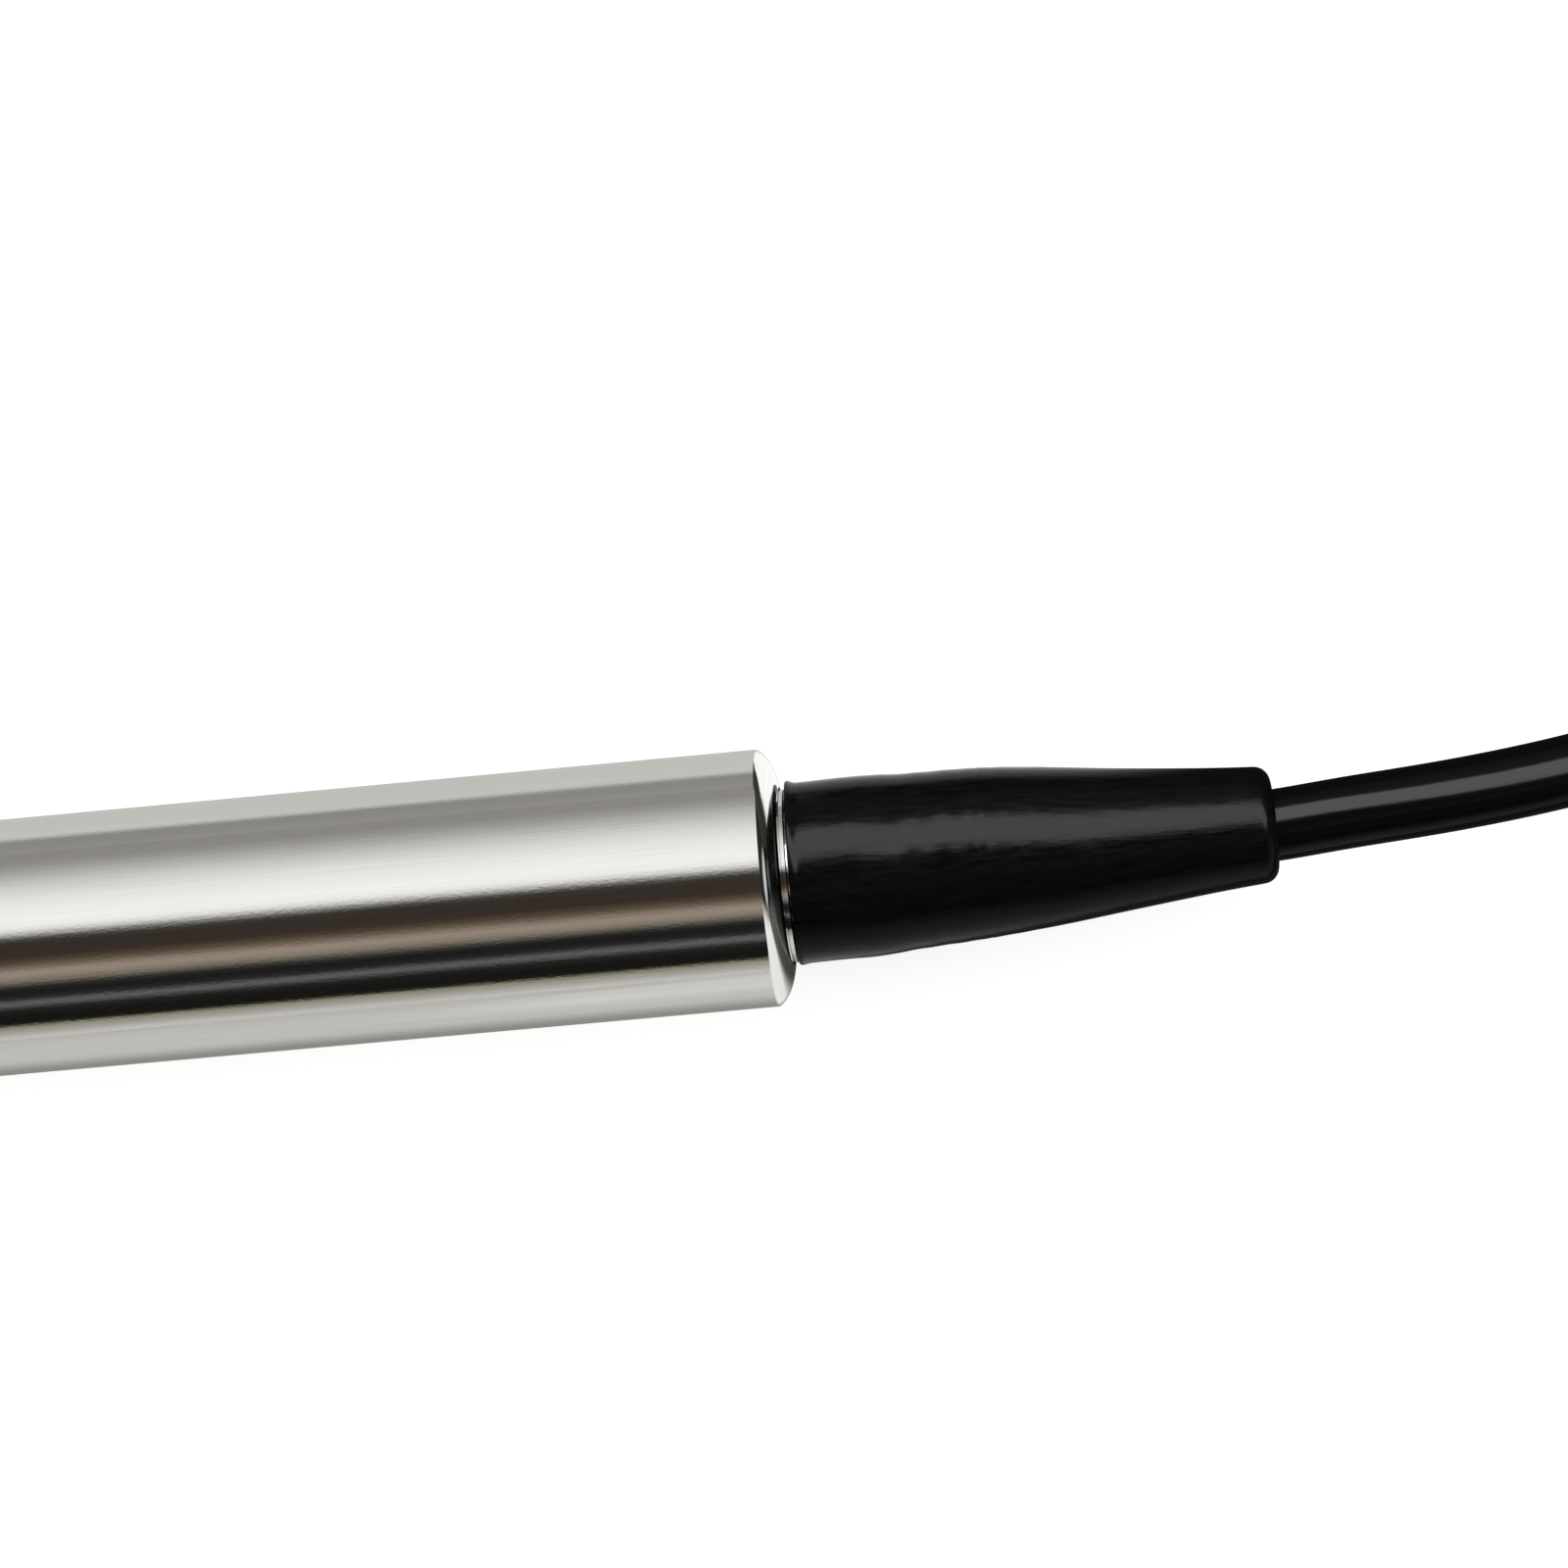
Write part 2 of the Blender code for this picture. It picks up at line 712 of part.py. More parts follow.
def mounted(name, size, middle, across, look, corner):
    """A component that stands on the board, its middle this far along the axis and across."""
    x, y, z = on_axis(middle)
    centre = (x, y + across, z + board_top + size[2] / 2)
    return box(name, size, centre, look, corner)


trimmer_row = board_width / 2 - TRIMMER_EDGE_ROOM - TRIMMER_SIZE[1] / 2
chip_row = -CHIP_SIZE[1] / 2 - GAP
first_trimmer = board_front + TRIMMER_PLACE
second_trimmer = first_trimmer + TRIMMER_PITCH
terminal_middle = board_rear - TERMINAL_PLACE
power_row = board_rear - POWER_PART_PLACE
mounted("zero_trimmer", TRIMMER_SIZE, first_trimmer, trimmer_row, trimmer_blue, 0.0003)
mounted("span_trimmer", TRIMMER_SIZE, second_trimmer, trimmer_row, trimmer_blue, 0.0003)
mounted("amplifier_chip", CHIP_SIZE, first_trimmer + TRIMMER_PITCH / 2, chip_row, chip_black, 0.0002)
mounted("loop_transistor", TRANSISTOR_SIZE, power_row, -TRANSISTOR_SIZE[1] * 0.6, chip_black, 0.0003)
mounted("loop_capacitor", CAPACITOR_SIZE, power_row, CAPACITOR_SIZE[1] * 1.2, capacitor_yellow, 0.0003)
mounted(
    "surge_suppressor",
    SUPPRESSOR_SIZE,
    (power_row + TRANSISTOR_SIZE[0] / 2 + terminal_middle - TERMINAL_SIZE[0] / 2) / 2,
    -SUPPRESSOR_SIZE[1],
    chip_black,
    0.0002,
)
mounted("terminal_block", TERMINAL_SIZE, terminal_middle, 0.0, natural_plastic, 0.0004)

# Sensor leads: from each header pin through the disc's window to a pad on the board
wire_start = pin_start + PIN_LENGTH + GAP
wire_end = board_front + WIRE_LANDING
wire_height = board_top + WIRE_DIAMETER / 2
window_height = slot_height / 2 + 1.8 * WIRE_DIAMETER
pad_height = wire_height + WIRE_DIAMETER / 2
for order, number in enumerate(sorted(range(HEADER_PINS), key=pin_place)):
    sideways, upwards = pin_place(number)
    landing = (order - (HEADER_PINS - 1) / 2) * 2 * WIRE_DIAMETER
    route = [
        (nose_face + wire_start, sideways, axis_height + upwards),
        (nose_face + wire_start + WIRE_STUB, sideways, axis_height + upwards),
        (nose_face + board_front - WIRE_STUB / 2, landing, axis_height + window_height),
        (nose_face + wire_end - WIRE_STUB, landing, axis_height + pad_height),
        (nose_face + wire_end, landing, axis_height + wire_height),
    ]
    points = spline(route, 2 * WIRE_DIAMETER)
    tube_along(f"sensor_lead_{number + 1}", points, WIRE_DIAMETER, gold_plate)


# Cable gland: a body screwed through the end wall, its collar in the dome's seat
gland_bore = GLAND_BORE / 2
collar_front = seat_face + GAP
spigot_radius = SPIGOT_DIAMETER / 2
spigot_end = collar_rear + SPIGOT_LENGTH
barb_radius = BARB_DIAMETER / 2
grommet_pocket = spigot_radius - SPIGOT_WALL
pocket_start = spigot_end - GROMMET_POCKET_DEPTH
gland_ring_size = GLAND_RING_THICKNESS + 2 * SEAL_GAP
ring_floor = stem_hole + SEAL_GAP
barbs = []
for number in range(BARBS):
    foot = collar_rear + BARB_PLACE + number * (BARB_LENGTH + GAP)
    barbs += [
        (foot, spigot_radius),
        (foot, barb_radius),
        (foot + BARB_LENGTH, spigot_radius),
    ]
turned(
    "gland_body",
    [
        (stem_start, gland_bore),
        (pocket_start, gland_bore),
        (pocket_start, grommet_pocket),
        (spigot_end, grommet_pocket),
        (spigot_end, spigot_radius),
    ]
    + barbs[::-1]
    + [
        (collar_rear, spigot_radius),
        (collar_rear, collar_radius),
        (collar_front, collar_radius),
        (collar_front, ring_floor + gland_ring_size),
        (collar_front + gland_ring_size, ring_floor + gland_ring_size),
        (collar_front + gland_ring_size, ring_floor),
        (collar_front, ring_floor),
        (collar_front, stem_radius),
        (stem_start, stem_radius),
    ],
    polished_steel,
    MIDDLE_ROUND,
)
rubber_ring(
    "gland_oring", collar_front + gland_ring_size / 2, ring_floor, GLAND_RING_THICKNESS
)

lock_washer_front = wall_face - GAP - LOCK_WASHER_THICKNESS
turned(
    "lock_washer",
    [
        (lock_washer_front, stem_hole),
        (wall_face - GAP, stem_hole),
        (wall_face - GAP, LOCK_NUT_ACROSS / 2),
        (lock_washer_front, LOCK_NUT_ACROSS / 2),
    ],
    sensor_steel,
    MIDDLE_ROUND,
)
nut_rear = lock_washer_front - GAP
nut_front = nut_rear - LOCK_NUT_LENGTH
lock_nut = prism(
    "lock_nut",
    circle(outside_flats(LOCK_NUT_ACROSS, 6) / 2, 6),
    nut_front,
    nut_rear,
    sensor_steel,
)
lock_nut_hole = prism(
    "lock_nut_hole_cutter",
    circle(stem_hole, MIDDLE_ROUND),
    nut_front - GAP,
    nut_rear + GAP,
    sensor_steel,
)
join_or_cut(lock_nut, lock_nut_hole)

# Grommet and washer in the spigot's pocket, pressed in by the nut
grommet_outside = grommet_pocket - GAP
grommet_inside = gland_bore
grommet_front = pocket_start + GAP
washer_front = grommet_front + GROMMET_LENGTH + GAP
turned(
    "cable_grommet",
    [
        (grommet_front, grommet_inside),
        (grommet_front + GROMMET_LENGTH, grommet_inside),
        (grommet_front + GROMMET_LENGTH, grommet_outside),
        (grommet_front, grommet_outside),
    ],
    seal_rubber,
    MIDDLE_ROUND,
)
turned(
    "pressure_washer",
    [
        (washer_front, grommet_inside),
        (washer_front + PRESSURE_WASHER_THICKNESS, grommet_inside),
        (washer_front + PRESSURE_WASHER_THICKNESS, grommet_outside),
        (washer_front, grommet_outside),
    ],
    sensor_steel,
    MIDDLE_ROUND,
)
nut_outside = NUT_DIAMETER / 2
skirt_inside = spigot_radius + GAP
nut_shoulder = spigot_end + GAP
nut_end = nut_shoulder + NUT_END_WALL
skirt_front = nut_shoulder - NUT_SKIRT_LENGTH
compression_nut = turned(
    "compression_nut",
    [
        (skirt_front, skirt_inside),
        (nut_shoulder, skirt_inside),
        (nut_shoulder, gland_bore),
        (nut_end, gland_bore),
    ]
    + arc(nut_end - NUT_END_WALL / 4, nut_outside - NUT_END_WALL / 4, NUT_END_WALL / 4, 0, 90, 3)
    + [(skirt_front, nut_outside)],
    sensor_steel,
    MIDDLE_ROUND,
)
for side in (-1, 1):
    flat = box(
        f"nut_flat_cutter_{'left' if side < 0 else 'right'}",
        (NUT_SKIRT_LENGTH, NUT_DIAMETER, NUT_DIAMETER),
        (
            nose_face + nut_end,
            0.0,
            axis_height + side * (NUT_FLATS_ACROSS / 2 + NUT_DIAMETER / 2),
        ),
        sensor_steel,
    )
    join_or_cut(compression_nut, flat)


# Boot: a rubber sleeve over the gland, tapering to the cable, with a rounded end
boot_nose = BOOT_FRONT_DIAMETER / 2
knee_radius = BOOT_KNEE_DIAMETER / 2
tail_radius = BOOT_REAR_DIAMETER / 2
taper_end = BOOT_LENGTH - BOOT_END_RADIUS
barb_room = barb_radius + GAP
nut_room = nut_outside + GAP + math.sin(BOOT_TILT) * (nut_end - boot_front)
throat = cable_radius + BOOT_THROAT_CLEARANCE
mouth = cable_radius + GAP
room_start = skirt_front - boot_front - GAP
room_end = nut_end - boot_front + GAP
boot_knee = (BOOT_KNEE_PLACE, knee_radius)
outer_line = (
    eased((BOOT_STRAIGHT, boot_nose), boot_knee, 0.0, BOOT_KNEE_SLOPE, 4)
    + eased(boot_knee, (taper_end, tail_radius), BOOT_KNEE_SLOPE, BOOT_REAR_SLOPE, 7)[1:]
)
turned(
    "strain_relief_boot",
    [
        (0.0, barb_room),
        (room_start, barb_room),
        (room_start, nut_room),
        (room_end, nut_room),
        (room_end + BOOT_CONE_LENGTH, throat),
        (BOOT_LENGTH - 2 * BOOT_END_RADIUS, throat),
        (BOOT_LENGTH - BOOT_END_RADIUS, mouth),
        (BOOT_LENGTH, mouth),
    ]
    + arc(taper_end, boot_end_flat, BOOT_END_RADIUS, 0, 84, 4)
    + outer_line[::-1]
    + [
        (BOOT_LIP_LENGTH + BOOT_LIP, boot_nose),
        (BOOT_LIP_LENGTH, boot_nose + BOOT_LIP),
        (0.0, boot_nose + BOOT_LIP),
    ],
    boot_rubber,
    MIDDLE_ROUND,
    on_axis(boot_front),
).rotation_euler.z = BOOT_TILT


# Cable inside the gland and the boot, then its cores up to the board
boot_mouth = Vector(LEAD_ROUTE[0])
straight_end = nose_face + nut_end
inner_route = [
    (nose_face + cable_in, 0.0, axis_height),
    (nose_face + stem_start, 0.0, axis_height),
    (nose_face + collar_rear, 0.0, axis_height),
    (straight_end, 0.0, axis_height),
    ((straight_end + boot_mouth.x) / 2, boot_mouth.y * 0.36, axis_height),
]
whole_lead = spline(inner_route + [tuple(point) for point in LEAD_ROUTE], CABLE_DIAMETER)
joint_x = boot_mouth.x - CABLE_JOINT
inside = [point for point in whole_lead if point.x < joint_x]
outside = [point for point in whole_lead if point.x >= inside[-1].x + GAP]
outside.insert(0, inside[-1].lerp(outside[0], GAP / (outside[0] - inside[-1]).length))
tube_along("cable_in_gland", inside, CABLE_DIAMETER, cable_sheath, 4)
tube_along("cable_lead", outside, CABLE_DIAMETER, cable_sheath, 4)

block_rear = terminal_middle + TERMINAL_SIZE[0] / 2
core_rise = board_top + TERMINAL_SIZE[2] / 2
for name, side, diameter, look in (
    ("positive_core", 1, CORE_DIAMETER, core_red),
    ("negative_core", -1, CORE_DIAMETER, core_black),
    ("vent_tube", 0, VENT_TUBE_DIAMETER, vent_white),
):
    start_height = axis_height + (CORE_RISE if side else 2 * CORE_RISE)
    end_height = axis_height + core_rise + (0.0 if side else CORE_DIAMETER)
    start = (nose_face + cable_in - GAP, side * CORE_DIAMETER, start_height)
    ends = (nose_face + block_rear + GAP, side * 2 * CORE_DIAMETER, end_height)
    lean = Vector((CORE_DIAMETER, 0.0, 0.0))
    route = [start, Vector(start) - lean, Vector(ends) + lean, ends]
    tube_along(name, spline([tuple(p) for p in route], 0.0015), diameter, look)


# Hank: the rest of the cable in flat turns, held off the surface by the ties' bands
hank_base = TIE_THICKNESS + GAP
bundle_width = HANK_COLUMNS * CABLE_DIAMETER
bundle_height = HANK_LAYERS * CABLE_DIAMETER
bend_middle = HANK_INNER_BEND - cable_radius + bundle_width / 2
first_centre = HANK_START + bend_middle + bundle_width / 2
bundle_middle = hank_base + bundle_height / 2


def racetrack(radius, bend_steps=12):
    """(point, outward) pairs once round two half circles joined by straight runs."""
    found = []
    for end, start in ((first_centre + HANK_RUN, -90), (first_centre, 90)):
        for n in range(bend_steps + 1):
            turn = math.radians(start + 180 * n / bend_steps)
            outward = Vector((math.cos(turn), math.sin(turn), 0.0))
            found.append((Vector((end, 0.0, 0.0)) + radius * outward, outward))
    return found


def bundle_section(width, height, corner, steps=3):
    """(across, up) points of a rectangle with round corners, about its middle."""
    found = []
    for across, up, start in ((1, 1, 0), (-1, 1, 90), (-1, -1, 180), (1, -1, 270)):
        for n in range(steps + 1):
            turn = math.radians(start + 90 * n / steps)
            found.append(
                (
                    across * (width / 2 - corner) + corner * math.cos(turn),
                    up * (height / 2 - corner) + corner * math.sin(turn),
                )
            )
    return found


def swept_ring(name, path, section, look):
    """A closed bar whose section follows a closed path and stays upright."""
    bm = bmesh.new()
    rings = [
        [
            bm.verts.new(point + across * outward + Vector((0.0, 0.0, bundle_middle + up)))
            for across, up in section
        ]
        for point, outward in path
    ]
    for ring, following in zip(rings, rings[1:] + rings[:1]):
        for n in range(len(section)):
            after = (n + 1) % len(section)
            bm.faces.new((ring[n], ring[after], following[after], following[n]))
    return add(name, finished(name, bm, 50), look)


swept_ring(
    "cable_hank",
    racetrack(bend_middle),
    bundle_section(bundle_width, bundle_height, cable_radius),
    cable_sheath,
)

# Ties: a plastic band with a small head round each run of the hank
inner_band = bundle_section(
    bundle_width + 2 * GAP, bundle_height + 2 * GAP, cable_radius + GAP
)
outer_band = bundle_section(
    bundle_width + 2 * GAP + 2 * TIE_THICKNESS,
    bundle_height + 2 * GAP + 2 * TIE_THICKNESS,
    cable_radius + GAP + TIE_THICKNESS,
)
for number, side in enumerate((-1, 1)):
    name = f"hank_tie_{number + 1}"
    run_end = first_centre + HANK_RUN
    middle = Vector((run_end - TIE_PLACE, side * bend_middle, bundle_middle))
    bm = bmesh.new()
    loops = [
        [bm.verts.new(middle + Vector((x, across, up))) for across, up in section]
        for x, section in (
            (-TIE_WIDTH / 2, inner_band),
            (-TIE_WIDTH / 2, outer_band),
            (TIE_WIDTH / 2, outer_band),
            (TIE_WIDTH / 2, inner_band),
        )
    ]
    for loop, following in zip(loops, loops[1:] + loops[:1]):
        for n in range(len(loop)):
            after = (n + 1) % len(loop)
            bm.faces.new((loop[n], loop[after], following[after], following[n]))
    tie = add(name, finished(name, bm, 50), natural_plastic)
    head_rise = bundle_height / 2 + GAP + (TIE_HEAD + TIE_THICKNESS) / 2
    head = box(
        f"{name}_head",
        (TIE_WIDTH + 2 * TIE_THICKNESS, TIE_WIDTH, TIE_HEAD),
        middle + Vector((0.0, 0.0, head_rise)),
        natural_plastic,
        TIE_THICKNESS / 3,
    )
    join_or_cut(tie, head, "UNION")

# Tail: the cable's end inside the hank, its cores bared and fitted with ferrules
tail = spline(TAIL_ROUTE, CABLE_DIAMETER)
tube_along("cable_tail", tail, CABLE_DIAMETER, cable_sheath, 4)
tail_end = tail[-1]
ahead = Vector(((tail_end - tail[-2]).x, (tail_end - tail[-2]).y, 0.0)).normalized()
aside = Vector((-ahead.y, ahead.x, 0.0))
heading = math.atan2(ahead.y, ahead.x)


def laid(name, outline, look, place, flats=SMALL_ROUND):
    """A turned piece that lies along the tail's last direction."""
    turned(name, outline, look, flats, place).rotation_euler.z = heading


sleeve_place = tail_end + GAP * ahead
tip_radius = END_SLEEVE_TIP / 2
laid(
    "end_sleeve",
    [
        (0.0, 0.0),
        (0.0, cable_radius),
        (END_SLEEVE_LENGTH - END_SLEEVE_TAPER, cable_radius),
        (END_SLEEVE_LENGTH, tip_radius),
        (END_SLEEVE_LENGTH, 0.0),
    ],
    seal_rubber,
    sleeve_place,
    2 * SMALL_ROUND,
)
fan_start = sleeve_place + (END_SLEEVE_LENGTH + GAP) * ahead
core_spread = (BARE_CORE_LENGTH / 2) * math.tan(CORE_SPREAD_ANGLE) + CORE_DIAMETER


def bare_end(name, tip_name, side, rise, length, sizes, looks):
    """A core or tube from the sleeve's tip down to the surface, with the fitting on its end."""
    diameter, tip_diameter, tip_length = sizes
    radius = tip_diameter / 2
    start = fan_start + side * CORE_DIAMETER * aside + Vector((0.0, 0.0, rise))
    end = fan_start + length * ahead + side * core_spread * aside
    end.z = radius
    lean = length / 4 * ahead
    route = [start, start + lean, end - lean, end]
    tube_along(name, spline([tuple(point) for point in route], 0.9 * diameter), diameter, looks[0])
    laid(
        tip_name,
        [(0.0, 0.0), (0.0, radius), (tip_length, 0.9 * radius), (tip_length, 0.0)],
        looks[1],
        end + GAP * ahead,
    )


core_sizes = (CORE_DIAMETER, FERRULE_DIAMETER, FERRULE_LENGTH)
vent_sizes = (VENT_TUBE_DIAMETER, FILTER_DIAMETER, FILTER_LENGTH)
bare_end(
    "positive_tail",
    "positive_ferrule",
    1,
    -CORE_DIAMETER / 4,
    BARE_CORE_LENGTH,
    core_sizes,
    (core_red, tin_plate),
)
bare_end(
    "negative_tail",
    "negative_ferrule",
    -1,
    -CORE_DIAMETER / 4,
    BARE_CORE_LENGTH,
    core_sizes,
    (core_black, tin_plate),
)
bare_end(
    "vent_tail",
    "vent_filter",
    0,
    CORE_DIAMETER / 2,
    BARE_VENT_LENGTH,
    vent_sizes,
    (vent_white, natural_plastic),
)
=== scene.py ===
"""Submersible level transmitter, dressed for a studio picture.

All lengths are in metres in the CAD's frame: the tube lies along X at the height of its radius,
its nose towards -X, and the cable leaves it towards +X.
"""

import math

import bmesh
import bpy
import numpy as np
from mathutils import Matrix


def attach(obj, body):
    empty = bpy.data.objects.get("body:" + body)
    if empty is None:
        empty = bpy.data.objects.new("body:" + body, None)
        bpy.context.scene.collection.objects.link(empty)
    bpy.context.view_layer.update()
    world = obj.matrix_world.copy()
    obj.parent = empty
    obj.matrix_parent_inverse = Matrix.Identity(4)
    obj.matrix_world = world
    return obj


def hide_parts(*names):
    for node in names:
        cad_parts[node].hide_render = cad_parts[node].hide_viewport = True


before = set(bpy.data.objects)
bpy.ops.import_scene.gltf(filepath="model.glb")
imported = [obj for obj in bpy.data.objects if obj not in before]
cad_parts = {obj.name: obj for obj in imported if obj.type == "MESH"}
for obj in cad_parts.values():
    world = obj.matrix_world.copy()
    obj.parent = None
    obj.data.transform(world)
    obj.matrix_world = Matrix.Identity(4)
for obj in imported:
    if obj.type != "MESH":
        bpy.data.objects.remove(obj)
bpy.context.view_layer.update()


# Camera
# It looks almost straight down on the rear end of the tube, a little from the cable's side, and is
# turned so that the tube climbs gently to the right of the picture.
AXIS_HEIGHT = 0.014
NOSE_X = -0.090233
TUBE_AND_CAP = 0.125
RIM_X = NOSE_X + TUBE_AND_CAP
LEAN = math.radians(3.3)
ROLL = math.radians(5.28)
DISTANCE = 0.44
SENSOR_WIDTH = 36.0
PICTURE_WIDTH = 0.17008
picture_middle = np.array([RIM_X + 0.002656, 0.009978, AXIS_HEIGHT])


def placed(own_x, own_y, own_z, middle):
    """The matrix that turns a thing's own axes to three directions and moves it to a middle."""
    matrix = np.eye(4)
    matrix[:3] = np.column_stack([own_x, own_y, own_z, middle])
    return Matrix(matrix.tolist())


backward = np.array([math.sin(LEAN), 0.0, math.cos(LEAN)])
level_right = np.array([math.cos(LEAN), 0.0, -math.sin(LEAN)])
level_up = np.array([0.0, 1.0, 0.0])
right = math.cos(ROLL) * level_right - math.sin(ROLL) * level_up
up = math.sin(ROLL) * level_right + math.cos(ROLL) * level_up

camera_data = bpy.data.cameras.new("camera")
camera_data.sensor_width = SENSOR_WIDTH
camera_data.lens = SENSOR_WIDTH * DISTANCE / PICTURE_WIDTH
camera_data.clip_start = 0.01
camera = bpy.data.objects.new("camera", camera_data)
camera.matrix_world = placed(right, up, backward, picture_middle + DISTANCE * backward)
bpy.context.scene.collection.objects.link(camera)
bpy.context.scene.camera = camera


# Cable
# A stiff vented cable with a smooth black polyurethane sheath, 1.9 m of it free. It leaves the boot
# in a slow curve, sinks to the table and is wound into a flat hank of two columns and three
# layers. Its bare end comes down inside the hank.
CABLE = 0.0078
CABLE_SIDES = 32
HANK_STEP = 0.0015
CURVE_STEP = 0.001
LEAD_POINTS = np.array(
    [
        (0.0777, 0.00031, 0.0140),
        (0.0842, 0.00046, 0.0140),
        (0.0902, 0.00073, 0.0140),
        (0.0965, 0.00125, 0.0140),
        (0.1050, 0.00185, 0.0137),
        (0.1135, 0.00260, 0.0131),
        (0.1215, 0.00360, 0.0123),
        (0.1320, 0.00570, 0.0110),
        (0.1434, 0.00985, 0.0092),
        (0.1543, 0.01550, 0.0074),
        (0.1625, 0.02100, 0.0062),
    ]
)
TAIL_POINTS = np.array(
    [
        (0.2380, 0.0221, 0.0111),
        (0.2460, 0.0193, 0.0074),
        (0.2530, 0.0149, 0.0049),
        (0.2580, 0.0110, 0.0042),
        (0.2605, 0.0089, 0.0041),
    ]
)
TURN_START = 0.1979
RUN = 0.060
TURN_MIDDLE = 0.0351
FIRST_LAYER = 0.0050
half_turn = math.pi * TURN_MIDDLE
lap = 2 * RUN + 2 * half_turn

# Each change of column or layer: whole laps before it, where it starts and ends beyond them, and
# how far it moves the line
COLUMN_CHANGES = (
    (0, 0.196, 0.230, -CABLE),
    (2, 0.096, 0.166, CABLE),
    (4, 0.026, 0.060, -CABLE),
    (5, 0.000, 0.034, -1.05 * CABLE),
)
LAYER_CHANGES = (
    (1, 0.162, 0.198, CABLE),
    (3, 0.056, 0.096, CABLE),
    (5, 0.014, 0.062, -0.0166),
)
wound_length = 5 * lap + 0.034


def cubic_through(knots, spacing):
    """Points on a natural cubic curve through the knots, with chord length as the parameter.

    Each span is a cubic whose second derivatives at its ends solve the three-term equations of
    equal slopes, with none at the two free ends. Returns the points and each knot's index.
    """
    chord = np.concatenate([[0.0], np.linalg.norm(np.diff(knots, axis=0), axis=1).cumsum()])
    width = np.diff(chord)
    slope = np.diff(knots, axis=0) / width[:, None]
    system = np.eye(len(knots))
    inner = np.arange(1, len(knots) - 1)
    system[inner, inner - 1] = width[:-1]
    system[inner, inner] = 2 * (width[:-1] + width[1:])
    system[inner, inner + 1] = width[1:]
    wanted = np.zeros_like(knots)
    wanted[1:-1] = 6 * np.diff(slope, axis=0)
    bend = np.linalg.solve(system, wanted)
    count = np.maximum(2, np.round(width / spacing).astype(int))
    span = np.repeat(np.arange(len(width)), count)
    first = np.concatenate([[0], count.cumsum()[:-1]])
    share = (np.arange(count.sum()) - first[span]) / count[span]
    wide = width[span][:, None]
    ahead = share[:, None] * wide
    left = wide - ahead
    curve = (
        (bend[span] * left**3 + bend[span + 1] * ahead**3) / (6 * wide)
        + (knots[span] / wide - bend[span] * wide / 6) * left
        + (knots[span + 1] / wide - bend[span + 1] * wide / 6) * ahead
    )
    return np.vstack([curve, knots[-1]]), np.concatenate([first, [count.sum()]])


def gentle_step(where, start, end):
    """From 0 to 1 along half a cosine wave between start and end."""
    share = np.clip((where - start) / (end - start), 0.0, 1.0)
    return 0.5 - 0.5 * np.cos(math.pi * share)


def changed_over(where, first, changes):
    """The first value plus a gentle step for each change, at distances along the laps."""
    for laps, start, end, shift in changes:
        first = first + shift * gentle_step(where, laps * lap + start, laps * lap + end)
    return first


def hank_line(where):
    """The wound cable's middle line at distances along the laps of an oblong with round ends.

    Two straight runs are joined by half circles. The line keeps to the outer or the inner column
    and to one of three layers, and changes over by gentle steps, each step further on than the
    one above it, so that no turn meets another.
    """
    column = changed_over(where, CABLE / 2, COLUMN_CHANGES)
    height = changed_over(where, FIRST_LAYER, LAYER_CHANGES)
    radius = TURN_MIDDLE + column
    along = np.mod(where, lap)
    far_turn = (along - RUN) / TURN_MIDDLE
    near_turn = (along - 2 * RUN - half_turn) / TURN_MIDDLE
    part = [along < RUN, along < RUN + half_turn, along < 2 * RUN + half_turn]
    x = np.select(
        part,
        [
            TURN_START + along,
            TURN_START + RUN + radius * np.sin(far_turn),
            TURN_START + 2 * RUN + half_turn - along,
        ],
        TURN_START - radius * np.sin(near_turn),
    )
    y = np.select(part, [radius, radius * np.cos(far_turn), -radius], -radius * np.cos(near_turn))
    return np.stack([x, y, height], axis=1)


# The lead and the tail run on through three points of the hank, so that they meet it smoothly
wound = hank_line(np.arange(-0.25 * half_turn, wound_length, HANK_STEP))
lead, marks = cubic_through(np.vstack([LEAD_POINTS, wound[[0, 6, 12]]]), CURVE_STEP)
lead = lead[: marks[len(LEAD_POINTS)]]
tail, marks = cubic_through(np.vstack([wound[[-13, -7, -1]], TAIL_POINTS]), CURVE_STEP)
tail = tail[marks[2] + 1 :]
cable_line = np.vstack([lead, wound, tail])


def mesh_object(name, points, faces, uv=None, smooth_angle=35.0):
    """A piece from arrays of points and faces, its faces turned outwards and smooth up to an angle.

    uv holds one pair for each face corner, in metres over the surface.
    """
    mesh = bpy.data.meshes.new(name)
    mesh.from_pydata(points.tolist(), [], faces)
    if uv is not None:
        layer = mesh.uv_layers.new(name="surface")
        layer.data.foreach_set("uv", np.ascontiguousarray(uv, dtype=np.float32).ravel())
    shell = bmesh.new()
    shell.from_mesh(mesh)
    bmesh.ops.recalc_face_normals(shell, faces=shell.faces)
    shell.to_mesh(mesh)
    shell.free()
    mesh.shade_smooth()
    mesh.set_sharp_from_angle(angle=math.radians(smooth_angle))
    made = bpy.data.objects.new(name, mesh)
    bpy.context.scene.collection.objects.link(made)
    return made


def grid_faces(rows, columns, rows_wrap, columns_wrap):
    """Corner indices of the quads of a grid, and each corner's row and column before wrapping."""
    i = np.arange(rows if rows_wrap else rows - 1)
    j = np.arange(columns if columns_wrap else columns - 1)
    i, j = (part.ravel() for part in np.meshgrid(i, j, indexing="ij"))
    row = np.stack([i, i + 1, i + 1, i], axis=1)
    column = np.stack([j, j, j + 1, j + 1], axis=1)
    return (row % rows) * columns + column % columns, row, column


